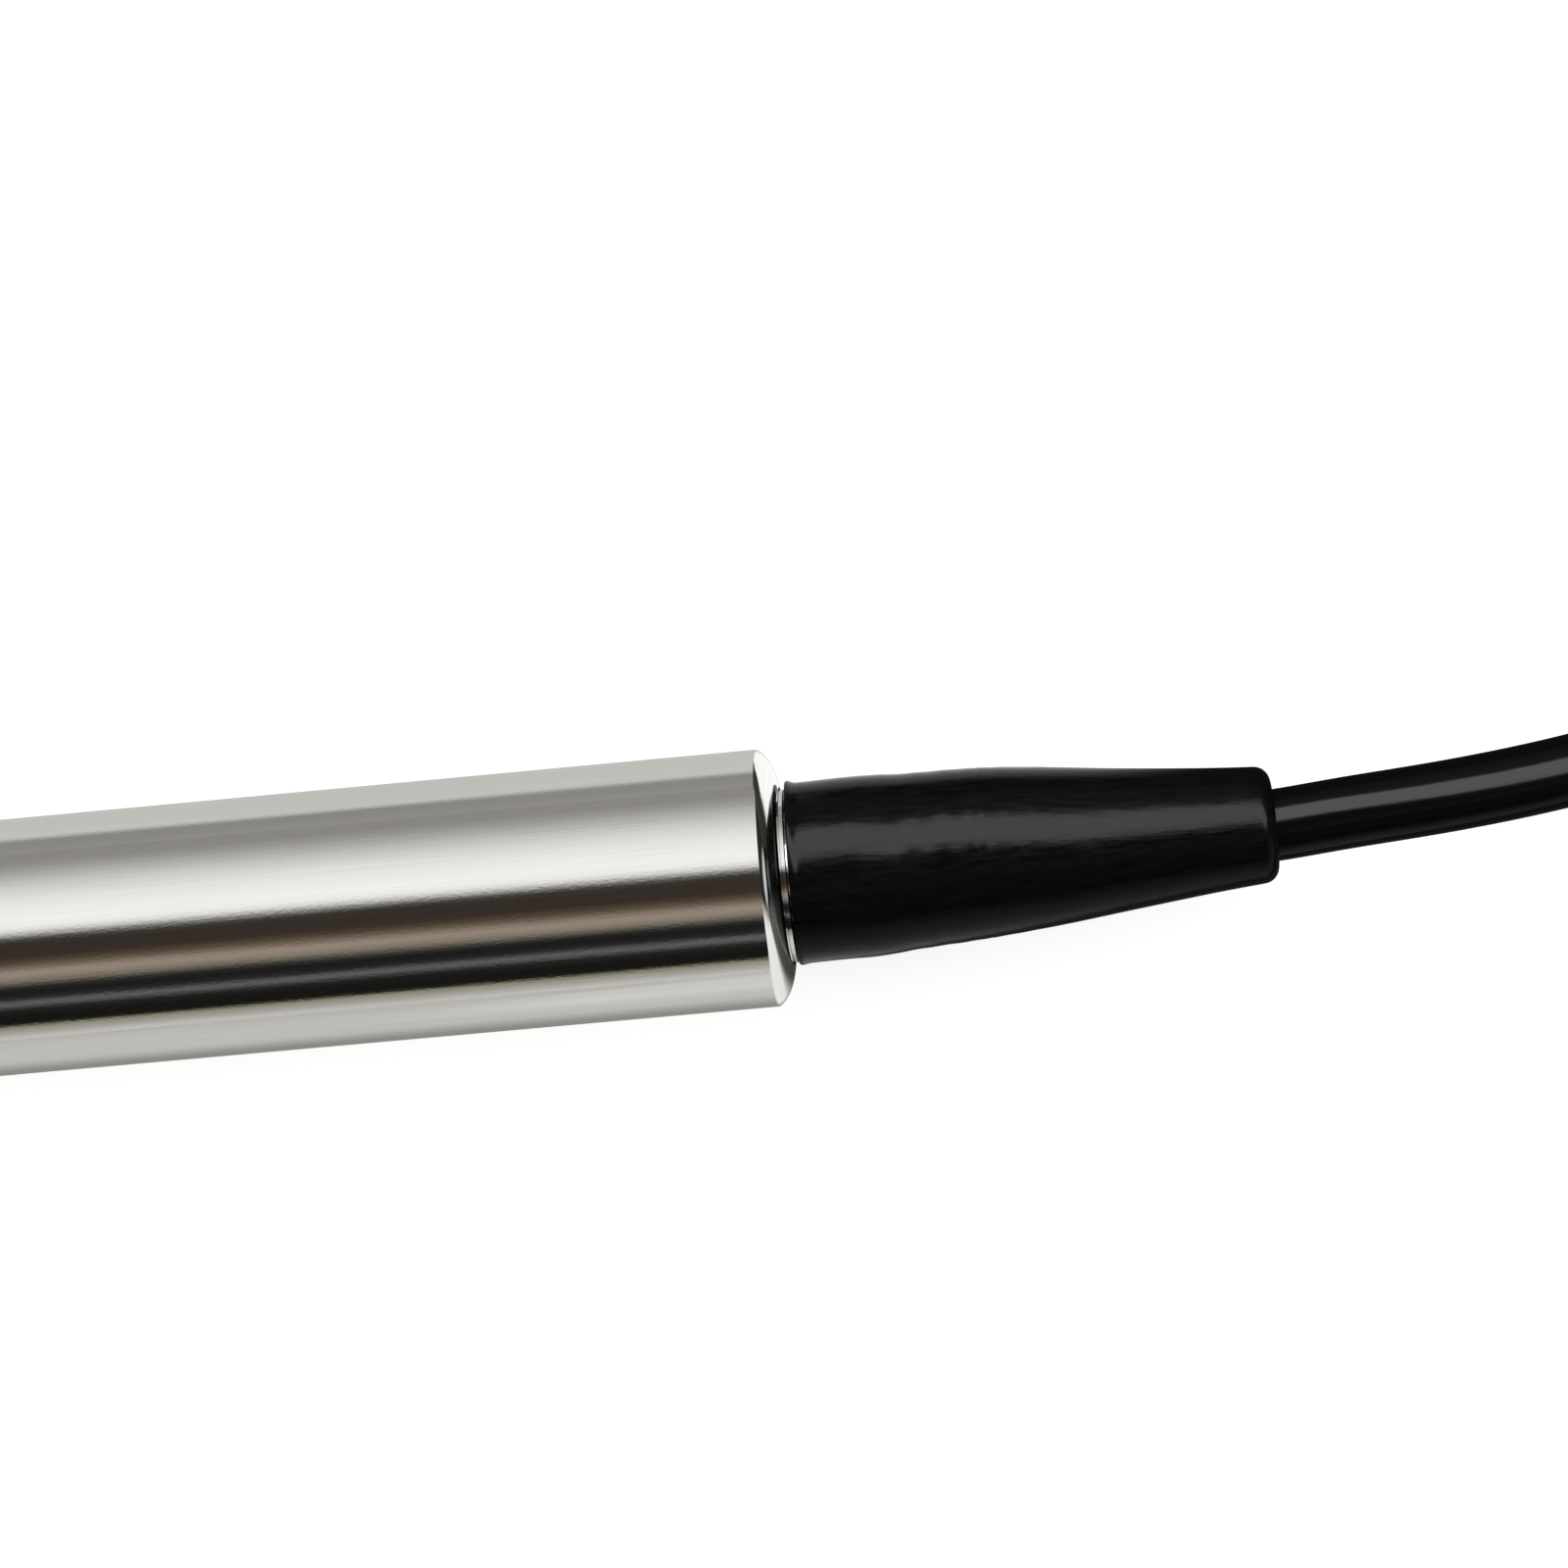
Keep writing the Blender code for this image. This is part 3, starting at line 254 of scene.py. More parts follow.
def along_line(name, line, outline, smooth_angle=35.0):
    """A closed outline carried along a line, its ends capped.

    The outline's (across, upward) points are set square to the line. Across is level, at right
    angles to the line's direction, and upward is the direction turned to it.
    """
    ahead = np.gradient(line, axis=0)
    ahead /= np.linalg.norm(ahead, axis=1)[:, None]
    across = np.stack([-ahead[:, 1], ahead[:, 0], np.zeros(len(line))], axis=1)
    across /= np.linalg.norm(across, axis=1)[:, None]
    upward = np.cross(ahead, across)
    outline = np.asarray(outline)
    points = (
        line[:, None]
        + outline[None, :, :1] * across[:, None]
        + outline[None, :, 1:] * upward[:, None]
    )
    rows, columns = len(line), len(outline)
    faces, row, column = grid_faces(rows, columns, False, True)
    length = np.concatenate([[0.0], np.linalg.norm(np.diff(line, axis=0), axis=1).cumsum()])
    sides = np.linalg.norm(np.roll(outline, -1, axis=0) - outline, axis=1)
    girth = np.concatenate([[0.0], sides.cumsum()])
    uv = np.stack([girth[column], length[row]], axis=2).reshape(-1, 2)
    caps = [list(range(columns)), list(range((rows - 1) * columns, rows * columns))]
    return mesh_object(
        name,
        points.reshape(-1, 3),
        faces.tolist() + caps,
        np.vstack([uv, outline, outline]),
        smooth_angle,
    )


def ring(radius, count):
    """Evenly spaced points round a circle: the radius times the cosine and sine of their angle."""
    turn = np.arange(count) * math.tau / count
    return np.stack([radius * np.cos(turn), radius * np.sin(turn)], axis=1)


def plain_material(name, colour, roughness, metallic=0.0):
    """A new material and its shader, with the values that are the same all over the surface."""
    made = bpy.data.materials.new(name)
    made.use_nodes = True
    shader = made.node_tree.nodes["Principled BSDF"]
    shader.inputs["Base Color"].default_value = (*colour, 1.0)
    shader.inputs["Roughness"].default_value = roughness
    shader.inputs["Metallic"].default_value = metallic
    return made, shader


def new_node(material, kind, **values):
    """A node of this kind. Values name sockets, or the node's own settings in small letters."""
    node = material.node_tree.nodes.new(kind)
    for name, value in values.items():
        if name[0].islower():
            setattr(node, name, value)
        else:
            node.inputs[name.replace("_", " ")].default_value = value
    return node


def grain_group():
    """Streaks: noise stretched by a scale for each direction of the surface, about a middle of 0.5.

    Fine and coarse noise are mixed, and the result is spread by a contrast.
    """
    group = bpy.data.node_groups.new("surface_grain", "ShaderNodeTree")
    for name, kind, start in (
        ("Place", "NodeSocketVector", None),
        ("Stretch", "NodeSocketVector", (1.0, 1.0, 1.0)),
        ("Contrast", "NodeSocketFloat", 1.0),
    ):
        socket = group.interface.new_socket(name, in_out="INPUT", socket_type=kind)
        if start is not None:
            socket.default_value = start
    group.interface.new_socket("Value", in_out="OUTPUT", socket_type="NodeSocketFloat")
    nodes, links = group.nodes, group.links
    given, result = nodes.new("NodeGroupInput"), nodes.new("NodeGroupOutput")
    stretched = nodes.new("ShaderNodeVectorMath")
    stretched.operation = "MULTIPLY"
    noise = nodes.new("ShaderNodeTexNoise")
    noise.inputs["Scale"].default_value = 1.0
    noise.inputs["Detail"].default_value = 4.0
    noise.inputs["Roughness"].default_value = 0.6
    centred = nodes.new("ShaderNodeMath")
    centred.operation = "SUBTRACT"
    centred.inputs[1].default_value = 0.5
    spread = nodes.new("ShaderNodeMath")
    spread.operation = "MULTIPLY_ADD"
    spread.inputs[2].default_value = 0.5
    spread.use_clamp = True
    links.new(given.outputs["Place"], stretched.inputs[0])
    links.new(given.outputs["Stretch"], stretched.inputs[1])
    links.new(stretched.outputs[0], noise.inputs["Vector"])
    links.new(noise.outputs["Fac"], centred.inputs[0])
    links.new(centred.outputs[0], spread.inputs[0])
    links.new(given.outputs["Contrast"], spread.inputs[1])
    links.new(spread.outputs[0], result.inputs["Value"])
    return group


surface_grain = grain_group()


def grain(material, stretch, contrast, place="UV"):
    """The grain group placed in a material, on the piece's own UV map or on Object coordinates."""
    node = new_node(material, "ShaderNodeGroup", node_tree=surface_grain)
    node.inputs["Stretch"].default_value = stretch
    node.inputs["Contrast"].default_value = contrast
    source = new_node(material, "ShaderNodeTexCoord")
    material.node_tree.links.new(source.outputs[place], node.inputs["Place"])
    return node.outputs["Value"]


def graded(material, value, socket, low, high):
    """A grain value spread between two numbers or colours and led to a shader's socket."""
    if isinstance(low, tuple):
        node = new_node(material, "ShaderNodeMix", data_type="RGBA")
        node.inputs[6].default_value = (*low, 1.0)
        node.inputs[7].default_value = (*high, 1.0)
        material.node_tree.links.new(value, node.inputs[0])
        material.node_tree.links.new(node.outputs[2], socket)
    else:
        node = new_node(material, "ShaderNodeMapRange", To_Min=low, To_Max=high)
        material.node_tree.links.new(value, node.inputs["Value"])
        material.node_tree.links.new(node.outputs["Result"], socket)


def bumped(material, value, shader, height):
    """A height from a grain value, in metres, led to the shader's Normal."""
    node = new_node(material, "ShaderNodeBump", Distance=height)
    material.node_tree.links.new(value, node.inputs["Height"])
    material.node_tree.links.new(node.outputs["Normal"], shader.inputs["Normal"])


cable_gloss, shader = plain_material("cable_gloss", (0.001, 0.001, 0.001), 0.16)
shader.inputs["Specular IOR Level"].default_value = 0.08
sheath_grain = grain(cable_gloss, (900.0, 60.0, 1.0), 1.4)
graded(cable_gloss, sheath_grain, shader.inputs["Roughness"], 0.09, 0.17)
bumped(cable_gloss, grain(cable_gloss, (260.0, 130.0, 1.0), 1.0), shader, 0.00002)

cable = along_line("cable", cable_line, ring(CABLE / 2, CABLE_SIDES))
cable.data.materials.append(cable_gloss)
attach(cable, "root")
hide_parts("cable_lead", "cable_hank", "cable_tail")


# Hank ties
# Two natural nylon cable ties, each drawn tight round one run of the hank, with the ratchet head
# on top. A thin band follows the bundle, and the head is a small block with rounded edges.
TIE_MIDDLE_X = TURN_START + RUN - 0.012
TIE_WIDTH = 0.005
TIE_THICKNESS = 0.0008
TIE_GAP = 0.0003
TIE_ROUND = 0.00012
TIE_HEAD = 0.0025
HEAD_CORNER = 0.0005
HEAD_ROUND = 0.0003
BUNDLE_HEIGHT = 3 * CABLE
bundle_middle = FIRST_LAYER - CABLE / 2 + BUNDLE_HEIGHT / 2


def rounded_block(width, height, corner, steps=6):
    """Points round a rectangle whose corners are quarter circles, anticlockwise."""
    turn = np.radians(np.repeat([0.0, 90.0, 180.0, 270.0], steps + 1))
    turn = turn + np.radians(np.tile(np.linspace(0.0, 90.0, steps + 1), 4))
    side = np.repeat([1, -1, -1, 1], steps + 1) * (width / 2 - corner)
    rise = np.repeat([1, 1, -1, -1], steps + 1) * (height / 2 - corner)
    return np.stack([side + corner * np.cos(turn), rise + corner * np.sin(turn)], axis=1)


def looped_band(name, inner, outer, low_x, high_x, middle):
    """A flat band round a closed outline: four copies of it, inner and outer at both edges."""
    places = [(low_x, inner), (low_x, outer), (high_x, outer), (high_x, inner)]
    points = np.stack(
        [np.column_stack([np.full(len(loop), x), loop + middle]) for x, loop in places]
    )
    faces, row, column = grid_faces(4, len(inner), True, True)
    uv = np.stack([column * 0.0008, row * 0.001], axis=2).reshape(-1, 2)
    return mesh_object(name, points.reshape(-1, 3), faces.tolist(), uv, 40.0)


def eased_edges(piece, width):
    """A small round on every edge that turns by more than 30 degrees."""
    bevel = piece.modifiers.new("eased_edges", "BEVEL")
    bevel.width = width
    bevel.segments = 2
    bevel.angle_limit = math.radians(30)


nylon, shader = plain_material("tie_nylon", (0.78, 0.77, 0.71), 0.42)
nylon_grain = grain(nylon, (700.0, 700.0, 700.0), 1.0, "Object")
graded(nylon, nylon_grain, shader.inputs["Roughness"], 0.34, 0.5)
graded(nylon, nylon_grain, shader.inputs["Base Color"], (0.74, 0.73, 0.66), (0.82, 0.81, 0.76))

for number, side in ((1, -1), (2, 1)):
    middle = np.array([side * TURN_MIDDLE, bundle_middle])
    reach = 2 * TIE_GAP
    inner = rounded_block(2 * CABLE + reach, BUNDLE_HEIGHT + reach, CABLE / 2 + TIE_GAP)
    reach += 2 * TIE_THICKNESS
    outer = rounded_block(2 * CABLE + reach, BUNDLE_HEIGHT + reach, CABLE / 2 + reach / 2)
    edges = TIE_MIDDLE_X - TIE_WIDTH / 2, TIE_MIDDLE_X + TIE_WIDTH / 2
    band = looped_band(f"tie_band_{number}", inner, outer, *edges, middle)
    eased_edges(band, TIE_ROUND)
    head_height = middle[1] + BUNDLE_HEIGHT / 2 + TIE_GAP + (TIE_HEAD + TIE_THICKNESS) / 2
    head_ends = edges[0] - TIE_THICKNESS, edges[1] + TIE_THICKNESS
    head_line = np.array([(x, middle[0], head_height) for x in head_ends])
    head_outline = rounded_block(TIE_WIDTH, TIE_HEAD, HEAD_CORNER)
    head = along_line(f"tie_head_{number}", head_line, head_outline)
    eased_edges(head, HEAD_ROUND)
    for piece in (band, head):
        piece.data.materials.append(nylon)
        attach(piece, "root")
    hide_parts(f"hank_tie_{number}")
    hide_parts(f"hank_tie_{number}")


# Bare end of the cable
# The sheath ends in a black heat-shrink sleeve. Two insulated cores with crimped tin ferrules and
# the white vent tube with its small filter come out of it and come to rest on the table.
SLEEVE_LENGTH = 0.008
SLEEVE_TIP = 0.0056
SLEEVE_ROUND = 0.0003
END_GAP = 0.0003
CORE = 0.0016
CORE_LENGTH = 0.0085
VENT = 0.0020
VENT_LENGTH = 0.0055
TIP_LENGTH = 0.005
FINE_STEP = 0.0003
SPREAD = CORE_LENGTH / 2 * math.tan(math.radians(40)) + CORE
tail_end = cable_line[-1]
onward = np.array([*(cable_line[-1] - cable_line[-2])[:2], 0.0])
onward /= np.linalg.norm(onward)
sideways = np.array([-onward[1], onward[0], 0.0])


def turned_points(outline, count):
    """An outline of (along, radius) pairs spun about its first axis, row by row."""
    turn = np.arange(count) * math.tau / count
    outline = np.asarray(outline)
    along = np.repeat(outline[:, :1], count, axis=1)
    return np.stack(
        [along, outline[:, 1:] * np.cos(turn), outline[:, 1:] * np.sin(turn)], axis=2
    )


def turned(name, outline, start, count=256, direction=None, closed=True, smooth_angle=32.0):
    """A turned piece from an outline of (along, radius) pairs, measured from start.

    It is spun about X, or about a level direction. A closed outline makes a ring with a hole, and
    an open one a solid whose two ends are capped.
    """
    outline = np.asarray(outline, dtype=float)
    points = turned_points(outline, count).reshape(-1, 3)
    if direction is not None:
        square = np.stack([direction, np.array([-direction[1], direction[0], 0.0]), [0, 0, 1]])
        points = points @ square
    points = points + np.asarray(start)
    rows = len(outline)
    faces, row, column = grid_faces(rows, count, closed, True)
    steps = np.linalg.norm(np.roll(outline, -1, axis=0) - outline, axis=1)
    length = np.concatenate([[0.0], steps.cumsum()])
    girth = math.tau * outline[:, 1].max() / count
    uv = np.stack([column * girth, length[row]], axis=2).reshape(-1, 2)
    faces = faces.tolist()
    if not closed:
        faces += [list(range(count)), list(range((rows - 1) * count, rows * count))]
        uv = np.vstack([uv, ring(outline[0, 1], count), ring(outline[-1, 1], count)])
    return mesh_object(name, points, faces, uv, smooth_angle)


def rounded_corner(along, radius, size, start, end, steps=4):
    """Points of a round corner of this size about (along, radius), between two angles."""
    turn = np.radians(np.linspace(start, end, steps + 1))
    return np.stack([along + size * np.cos(turn), radius + size * np.sin(turn)], axis=1)


shrink_black, shader = plain_material("heat_shrink", (0.015, 0.015, 0.015), 0.5)
graded(shrink_black, grain(shrink_black, (900, 300, 1), 1.2), shader.inputs["Roughness"], 0.4, 0.6)
tinned, shader = plain_material("tinned_copper", (0.75, 0.75, 0.73), 0.35, 1.0)
graded(tinned, grain(tinned, (3000, 900, 1), 1.2), shader.inputs["Roughness"], 0.25, 0.45)
looks = {"end_sleeve": shrink_black, "positive_ferrule": tinned, "negative_ferrule": tinned}
for name, colour in (
    ("positive_tail", (0.52, 0.02, 0.015)),
    ("negative_tail", (0.014, 0.014, 0.014)),
    ("vent_tail", (0.76, 0.76, 0.73)),
    ("vent_filter", (0.82, 0.80, 0.74)),
):
    looks[name], shader = plain_material(f"{name}_skin", colour, 0.38)
    skin_grain = grain(looks[name], (1500, 200, 1), 1.2)
    graded(looks[name], skin_grain, shader.inputs["Roughness"], 0.3, 0.46)

sleeve_start = tail_end + END_GAP * onward
sleeve_shoulder = [
    (0.0046, CABLE / 2),
    (0.0058, 0.00372),
    (0.0068, 0.0031),
    (0.0079, SLEEVE_TIP / 2),
]
sleeve_outline = np.vstack(
    [
        rounded_corner(SLEEVE_ROUND, CABLE / 2 - SLEEVE_ROUND, SLEEVE_ROUND, 180, 90),
        cubic_through(np.array(sleeve_shoulder), FINE_STEP)[0],
        rounded_corner(
            SLEEVE_LENGTH - SLEEVE_ROUND, SLEEVE_TIP / 2 - SLEEVE_ROUND, SLEEVE_ROUND, 80, 0
        ),
    ]
)
bare_end = [
    turned("bare_end_sleeve", sleeve_outline, sleeve_start, 64, onward, False, smooth_angle=50.0)
]
fan_start = sleeve_start + (SLEEVE_LENGTH + END_GAP) * onward
ferrule_outline = [(0.0, 0.0009), (0.0, 0.0011), (0.0018, 0.0010), (0.0019, 0.0007)]
ferrule_outline += [(0.0049, 0.0007), (TIP_LENGTH, 0.0006), (TIP_LENGTH, 0.0003)]
filter_outline = [(0.0, 0.0014), (0.0, 0.0021), (0.0001, 0.0022), (0.0010, 0.0022)]
filter_outline += [(0.0012, 0.0019), (0.0046, 0.0018), (TIP_LENGTH, 0.0015), (TIP_LENGTH, 0.0008)]

# Each core and the vent tube fan out and sink until their tips lie on the table
for tail_name, tip_name, side, rise, length, thick, outline in (
    ("positive_tail", "positive_ferrule", 1, -CORE / 4, CORE_LENGTH, CORE, ferrule_outline),
    ("negative_tail", "negative_ferrule", -1, -CORE / 4, CORE_LENGTH, CORE, ferrule_outline),
    ("vent_tail", "vent_filter", 0, CORE / 2, VENT_LENGTH, VENT, filter_outline),
):
    begin = fan_start + side * CORE * sideways + np.array([0.0, 0.0, rise])
    finish = fan_start + length * onward + side * SPREAD * sideways
    finish[2] = max(radius for along, radius in outline)
    lean = length / 4 * onward
    line = cubic_through(np.array([begin, begin + lean, finish - lean, finish]), FINE_STEP)[0]
    bare_end.append(along_line(f"bare_{tail_name}", line, ring(thick / 2, 24), 50.0))
    tip_start = finish + END_GAP * onward
    bare_end.append(turned(f"bare_{tip_name}", outline, tip_start, 32, onward, False))
for piece in bare_end:
    node = piece.name.removeprefix("bare_")
    piece.data.materials.append(looks[node])
    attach(piece, "root")
    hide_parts(node)


# Housing tube
# A stainless steel tube closed by a domed rear wall, turned in one piece. It is polished along its
# length, so faint streaks run from the nose to the cable, and the rim is a crisp crease.
TUBE_FRONT = NOSE_X + 0.0246
BODY_RADIUS = 0.014
TUBE_BORE = 0.012
BORE_END = 0.0934
DOME_LENGTH = 0.00208
SEAT_RADIUS = 0.0097
SEAT_DEPTH = 0.00042
STEM_HOLE = 0.0073
RIM_CREASE = 0.00012
FRONT_CHAMFER = 0.0003
TUBE_RINGS = 40
DOME_RINGS = 28


def bezier(corners, steps):
    """A cubic curve between the outer two of four corners, drawn towards the inner two."""
    share = np.linspace(0.0, 1.0, steps + 1)[:, None]
    corners = np.asarray(corners)
    return (
        (1 - share) ** 3 * corners[0]
        + 3 * share * (1 - share) ** 2 * corners[1]
        + 3 * share**2 * (1 - share) * corners[2]
        + share**3 * corners[3]
    )


def brushed_steel(name, colour, streak, contrast, low, high, height):
    """Polished stainless steel: streaks in its roughness, a shallow wave and specks in its face."""
    made, shader = plain_material(name, colour, (low + high) / 2, 1.0)
    fine = grain(made, streak, contrast)
    graded(made, fine, shader.inputs["Roughness"], low, high)
    tint = tuple(0.9 * part for part in colour), tuple(min(1.0, 1.04 * part) for part in colour)
    graded(made, fine, shader.inputs["Base Color"], *tint)
    wave = new_node(made, "ShaderNodeMath", operation="ADD")
    made.node_tree.links.new(grain(made, (900.0, 25.0, 1.0), 1.0), wave.inputs[0])
    made.node_tree.links.new(grain(made, (3200.0, 1300.0, 1.0), 1.6), wave.inputs[1])
    bumped(made, wave.outputs[0], shader, height)
    return made


tube_steel = brushed_steel(
    "polished_tube", (0.73, 0.722, 0.695), (9000.0, 40.0, 1.0), 2.2, 0.03, 0.09, 0.000004
)
rim = RIM_X - TUBE_FRONT
dome = bezier(
    [
        (rim, BODY_RADIUS),
        (rim + 0.0011, 0.0134),
        (rim + 0.0019, 0.0116),
        (rim + DOME_LENGTH, SEAT_RADIUS),
    ],
    DOME_RINGS,
)
tube_wall = np.linspace(rim - 0.0005, FRONT_CHAMFER, TUBE_RINGS)
tube_outline = np.vstack(
    [
        [(BORE_END, TUBE_BORE), (BORE_END, STEM_HOLE), (rim - SEAT_DEPTH, STEM_HOLE)],
        [(rim - SEAT_DEPTH, SEAT_RADIUS)],
        dome[::-1],
        [(rim - RIM_CREASE, BODY_RADIUS)],
        np.stack([tube_wall, np.full(TUBE_RINGS, BODY_RADIUS)], axis=1),
        [(0.0, BODY_RADIUS - FRONT_CHAMFER), (0.0, TUBE_BORE)],
    ]
)
housing_tube = turned("polished_housing", tube_outline, (TUBE_FRONT, 0.0, AXIS_HEIGHT), 360)
# The dome's steel is given a far brighter colour than the tube's steel: a painted highlight, so
# that its reflections read brighter
dome_steel_painted_bright = brushed_steel(
    "turned_dome_painted_bright", (0.94, 0.93, 0.91), (60.0, 5000.0, 1.0), 1.6, 0.04, 0.09, 0.000002
)
housing_tube.data.materials.append(tube_steel)
housing_tube.data.materials.append(dome_steel_painted_bright)
# The dome is turned, so its own faces carry rings in place of the streaks
middles = np.empty(3 * len(housing_tube.data.polygons))
housing_tube.data.polygons.foreach_get("center", middles)
on_dome = (middles[::3] > RIM_X - 0.00003).astype(np.int32)
housing_tube.data.polygons.foreach_set("material_index", on_dome)
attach(housing_tube, "root")
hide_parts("housing_tube")


# Front socket and nose cap
# The socket's band shows as a narrow ring between the tube and the cap. The cap is a turned cup
# with a rounded nose, one port in its face and four in its side, deburred at their edges.
SOCKET_FRONT = 0.0123
SOCKET_REAR = 0.038
SENSOR_BORE = 0.0098
SENSOR_FLOOR = 0.030
LEAD_BORE = 0.0075
COLLAR_IN_CAP = 0.0110
SPIGOT_IN_TUBE = 0.0117
BAND_FRONT = 0.0223
BAND_REAR = 0.0243
BAND_EDGE = 0.0138
CHAMFER = 0.0002
CAP_FACE = 0.003
CAP_REAR = 0.022
CAP_RINGS = 36
CAP_BORE = 0.0113
NOSE_ROUND = 0.0035
FRONT_PORT = 0.004
SIDE_PORT = 0.003
SIDE_PORT_X = 0.0075
BIT_SIDES = 96

socket_outline = [(SOCKET_FRONT, SENSOR_BORE), (SENSOR_FLOOR, SENSOR_BORE)]
socket_outline += [(SENSOR_FLOOR, LEAD_BORE), (SOCKET_REAR, LEAD_BORE)]
socket_outline += [(SOCKET_REAR, SPIGOT_IN_TUBE), (BAND_REAR, SPIGOT_IN_TUBE)]
socket_outline += [(BAND_REAR, BAND_EDGE), (BAND_REAR - CHAMFER, BODY_RADIUS)]
socket_outline += [(BAND_FRONT + CHAMFER, BODY_RADIUS), (BAND_FRONT, BAND_EDGE)]
socket_outline += [(BAND_FRONT, COLLAR_IN_CAP), (SOCKET_FRONT, COLLAR_IN_CAP)]
front_socket = turned("socket_with_band", socket_outline, (NOSE_X, 0.0, AXIS_HEIGHT), 256)
cap_wall = np.linspace(0.0195, 0.0042, CAP_RINGS)
cap_outline = np.vstack(
    [
        [(CAP_FACE, FRONT_PORT + CHAMFER), (CAP_FACE, CAP_BORE), (CAP_REAR, CAP_BORE)],
        [(CAP_REAR, BODY_RADIUS - CHAMFER), (CAP_REAR - CHAMFER, BODY_RADIUS)],
        np.stack([cap_wall, np.full(CAP_RINGS, BODY_RADIUS)], axis=1),
        rounded_corner(NOSE_ROUND, BODY_RADIUS - NOSE_ROUND, NOSE_ROUND, 90, 180, 16),
        [(0.0, 0.0078), (0.0, FRONT_PORT + 0.0003), (0.0003, FRONT_PORT), (0.0028, FRONT_PORT)],
    ]
)
nose_cap = turned("ported_cap", cap_outline, (NOSE_X, 0.0, AXIS_HEIGHT), 256)


def drilled(piece, drills):
    """Cuts each drill out of a piece, keeps the result in its mesh and removes the drills.

    Edges that turn by more than 24 degrees stay sharp.
    """
    for drill in drills:
        cut = piece.modifiers.new(drill.name, "BOOLEAN")
        cut.object = drill
    ready = piece.evaluated_get(bpy.context.evaluated_depsgraph_get())
    cut_mesh = bpy.data.meshes.new_from_object(ready)
    piece.modifiers.clear()
    piece.data = cut_mesh
    cut_mesh.materials.clear()
    cut_mesh.shade_smooth()
    cut_mesh.set_sharp_from_angle(angle=math.radians(24))
    for drill in drills:
        bpy.data.objects.remove(drill, do_unlink=True)


def drill_bit(name, turn):
    """A round bar square to the axis, its end inside the cap, that widens at the outer face."""
    outward = np.array([0.0, math.cos(turn), math.sin(turn)])
    outline = np.array([(0.005, SIDE_PORT), (0.0131, SIDE_PORT), (0.0150, SIDE_PORT + 0.0014)])
    spun = turned_points(outline, BIT_SIDES)
    beside = np.cross(outward, [1.0, 0.0, 0.0])
    points = spun @ np.stack([outward, [1.0, 0.0, 0.0], beside])
    points = points + np.array([NOSE_X + SIDE_PORT_X, 0.0, AXIS_HEIGHT])
    faces = grid_faces(3, BIT_SIDES, False, True)[0].tolist()
    faces += [list(range(BIT_SIDES)), list(range(2 * BIT_SIDES, 3 * BIT_SIDES))]
    return mesh_object(name, points.reshape(-1, 3), faces)


drilled(nose_cap, [drill_bit(f"drill_{n}", n * math.tau / 4) for n in range(4)])
for piece, node in ((front_socket, "front_socket"), (nose_cap, "nose_cap")):
    piece.data.materials.append(tube_steel)
    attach(piece, "root")
    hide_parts(node)


# Sensor face
# What shows through the ports: the thin steel diaphragm with pressed rings, the weld ring round
# its edge, and the retaining ring with two slots for a pin spanner.
DISC_PLACE = 0.01728
DISC_RADIUS = 0.0077
DISC_THICKNESS = 0.0002
DISC_RINGS = 3
RING_HEIGHT = 0.00012
RINGS_END = 0.0065
WELD_BORE = 0.0068
WELD_REAR = 0.01703
RETAINER_FRONT = 0.0130
RETAINER_REAR = 0.0160
RETAINER_BORE = 0.0078
RETAINER_RADIUS = 0.0095
SLOT_WIDTH = 0.0024
SLOT_DEPTH = 0.0012
across = np.linspace(0.0, 1.0, 73)
wave = RING_HEIGHT * np.cos(math.tau * DISC_RINGS * across) * (1 - across**8)
disc_line = np.stack([DISC_PLACE + wave, np.maximum(RINGS_END * across, 0.00005)], axis=1)
disc_line = np.vstack([disc_line, [(DISC_PLACE, DISC_RADIUS)]])
half_sheet = [DISC_THICKNESS / 2, 0.0]
disc_outline = np.vstack([disc_line - half_sheet, (disc_line + half_sheet)[::-1]])
diaphragm = turned(
    "pressed_diaphragm", disc_outline, (NOSE_X, 0.0, AXIS_HEIGHT), 128, closed=False
)
weld_outline = [(0.01653, WELD_BORE), (WELD_REAR, WELD_BORE), (WELD_REAR, DISC_RADIUS)]
weld_outline += [(0.01665, DISC_RADIUS), (0.01653, 0.0076), (0.0165, 0.0072)]
weld_ring = turned("weld_bead", weld_outline, (NOSE_X, 0.0, AXIS_HEIGHT), 128)
retainer_outline = [(0.0131, RETAINER_BORE), (RETAINER_REAR, RETAINER_BORE)]
retainer_outline += [(RETAINER_REAR, RETAINER_RADIUS), (0.0131, RETAINER_RADIUS)]
retainer_outline += [(RETAINER_FRONT, 0.0094), (RETAINER_FRONT, 0.0079)]
retainer = turned("slotted_retainer", retainer_outline, (NOSE_X, 0.0, AXIS_HEIGHT), 128)
slot_corners = np.array([(x, y, z) for x in (-1, 1) for y in (-1, 1) for z in (-1, 1)])
slot_reach = [SLOT_DEPTH, BODY_RADIUS, SLOT_WIDTH / 2]
slot_box = slot_corners * slot_reach + [NOSE_X + RETAINER_FRONT, 0.0, AXIS_HEIGHT]
slot_faces = [(0, 1, 3, 2), (4, 6, 7, 5), (0, 4, 5, 1), (2, 3, 7, 6), (0, 2, 6, 4), (1, 5, 7, 3)]
drilled(retainer, [mesh_object("slot_bit", slot_box, slot_faces)])
sensor_steel = brushed_steel(
    "sensor_steel", (0.68, 0.67, 0.65), (3000.0, 90.0, 1.0), 1.6, 0.16, 0.3, 0.000002
)
for piece, node in (
    (diaphragm, "diaphragm"),
    (weld_ring, "weld_ring"),
    (retainer, "sensor_retainer"),
):
    piece.data.materials.append(sensor_steel)
    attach(piece, "root")
    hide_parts(node)


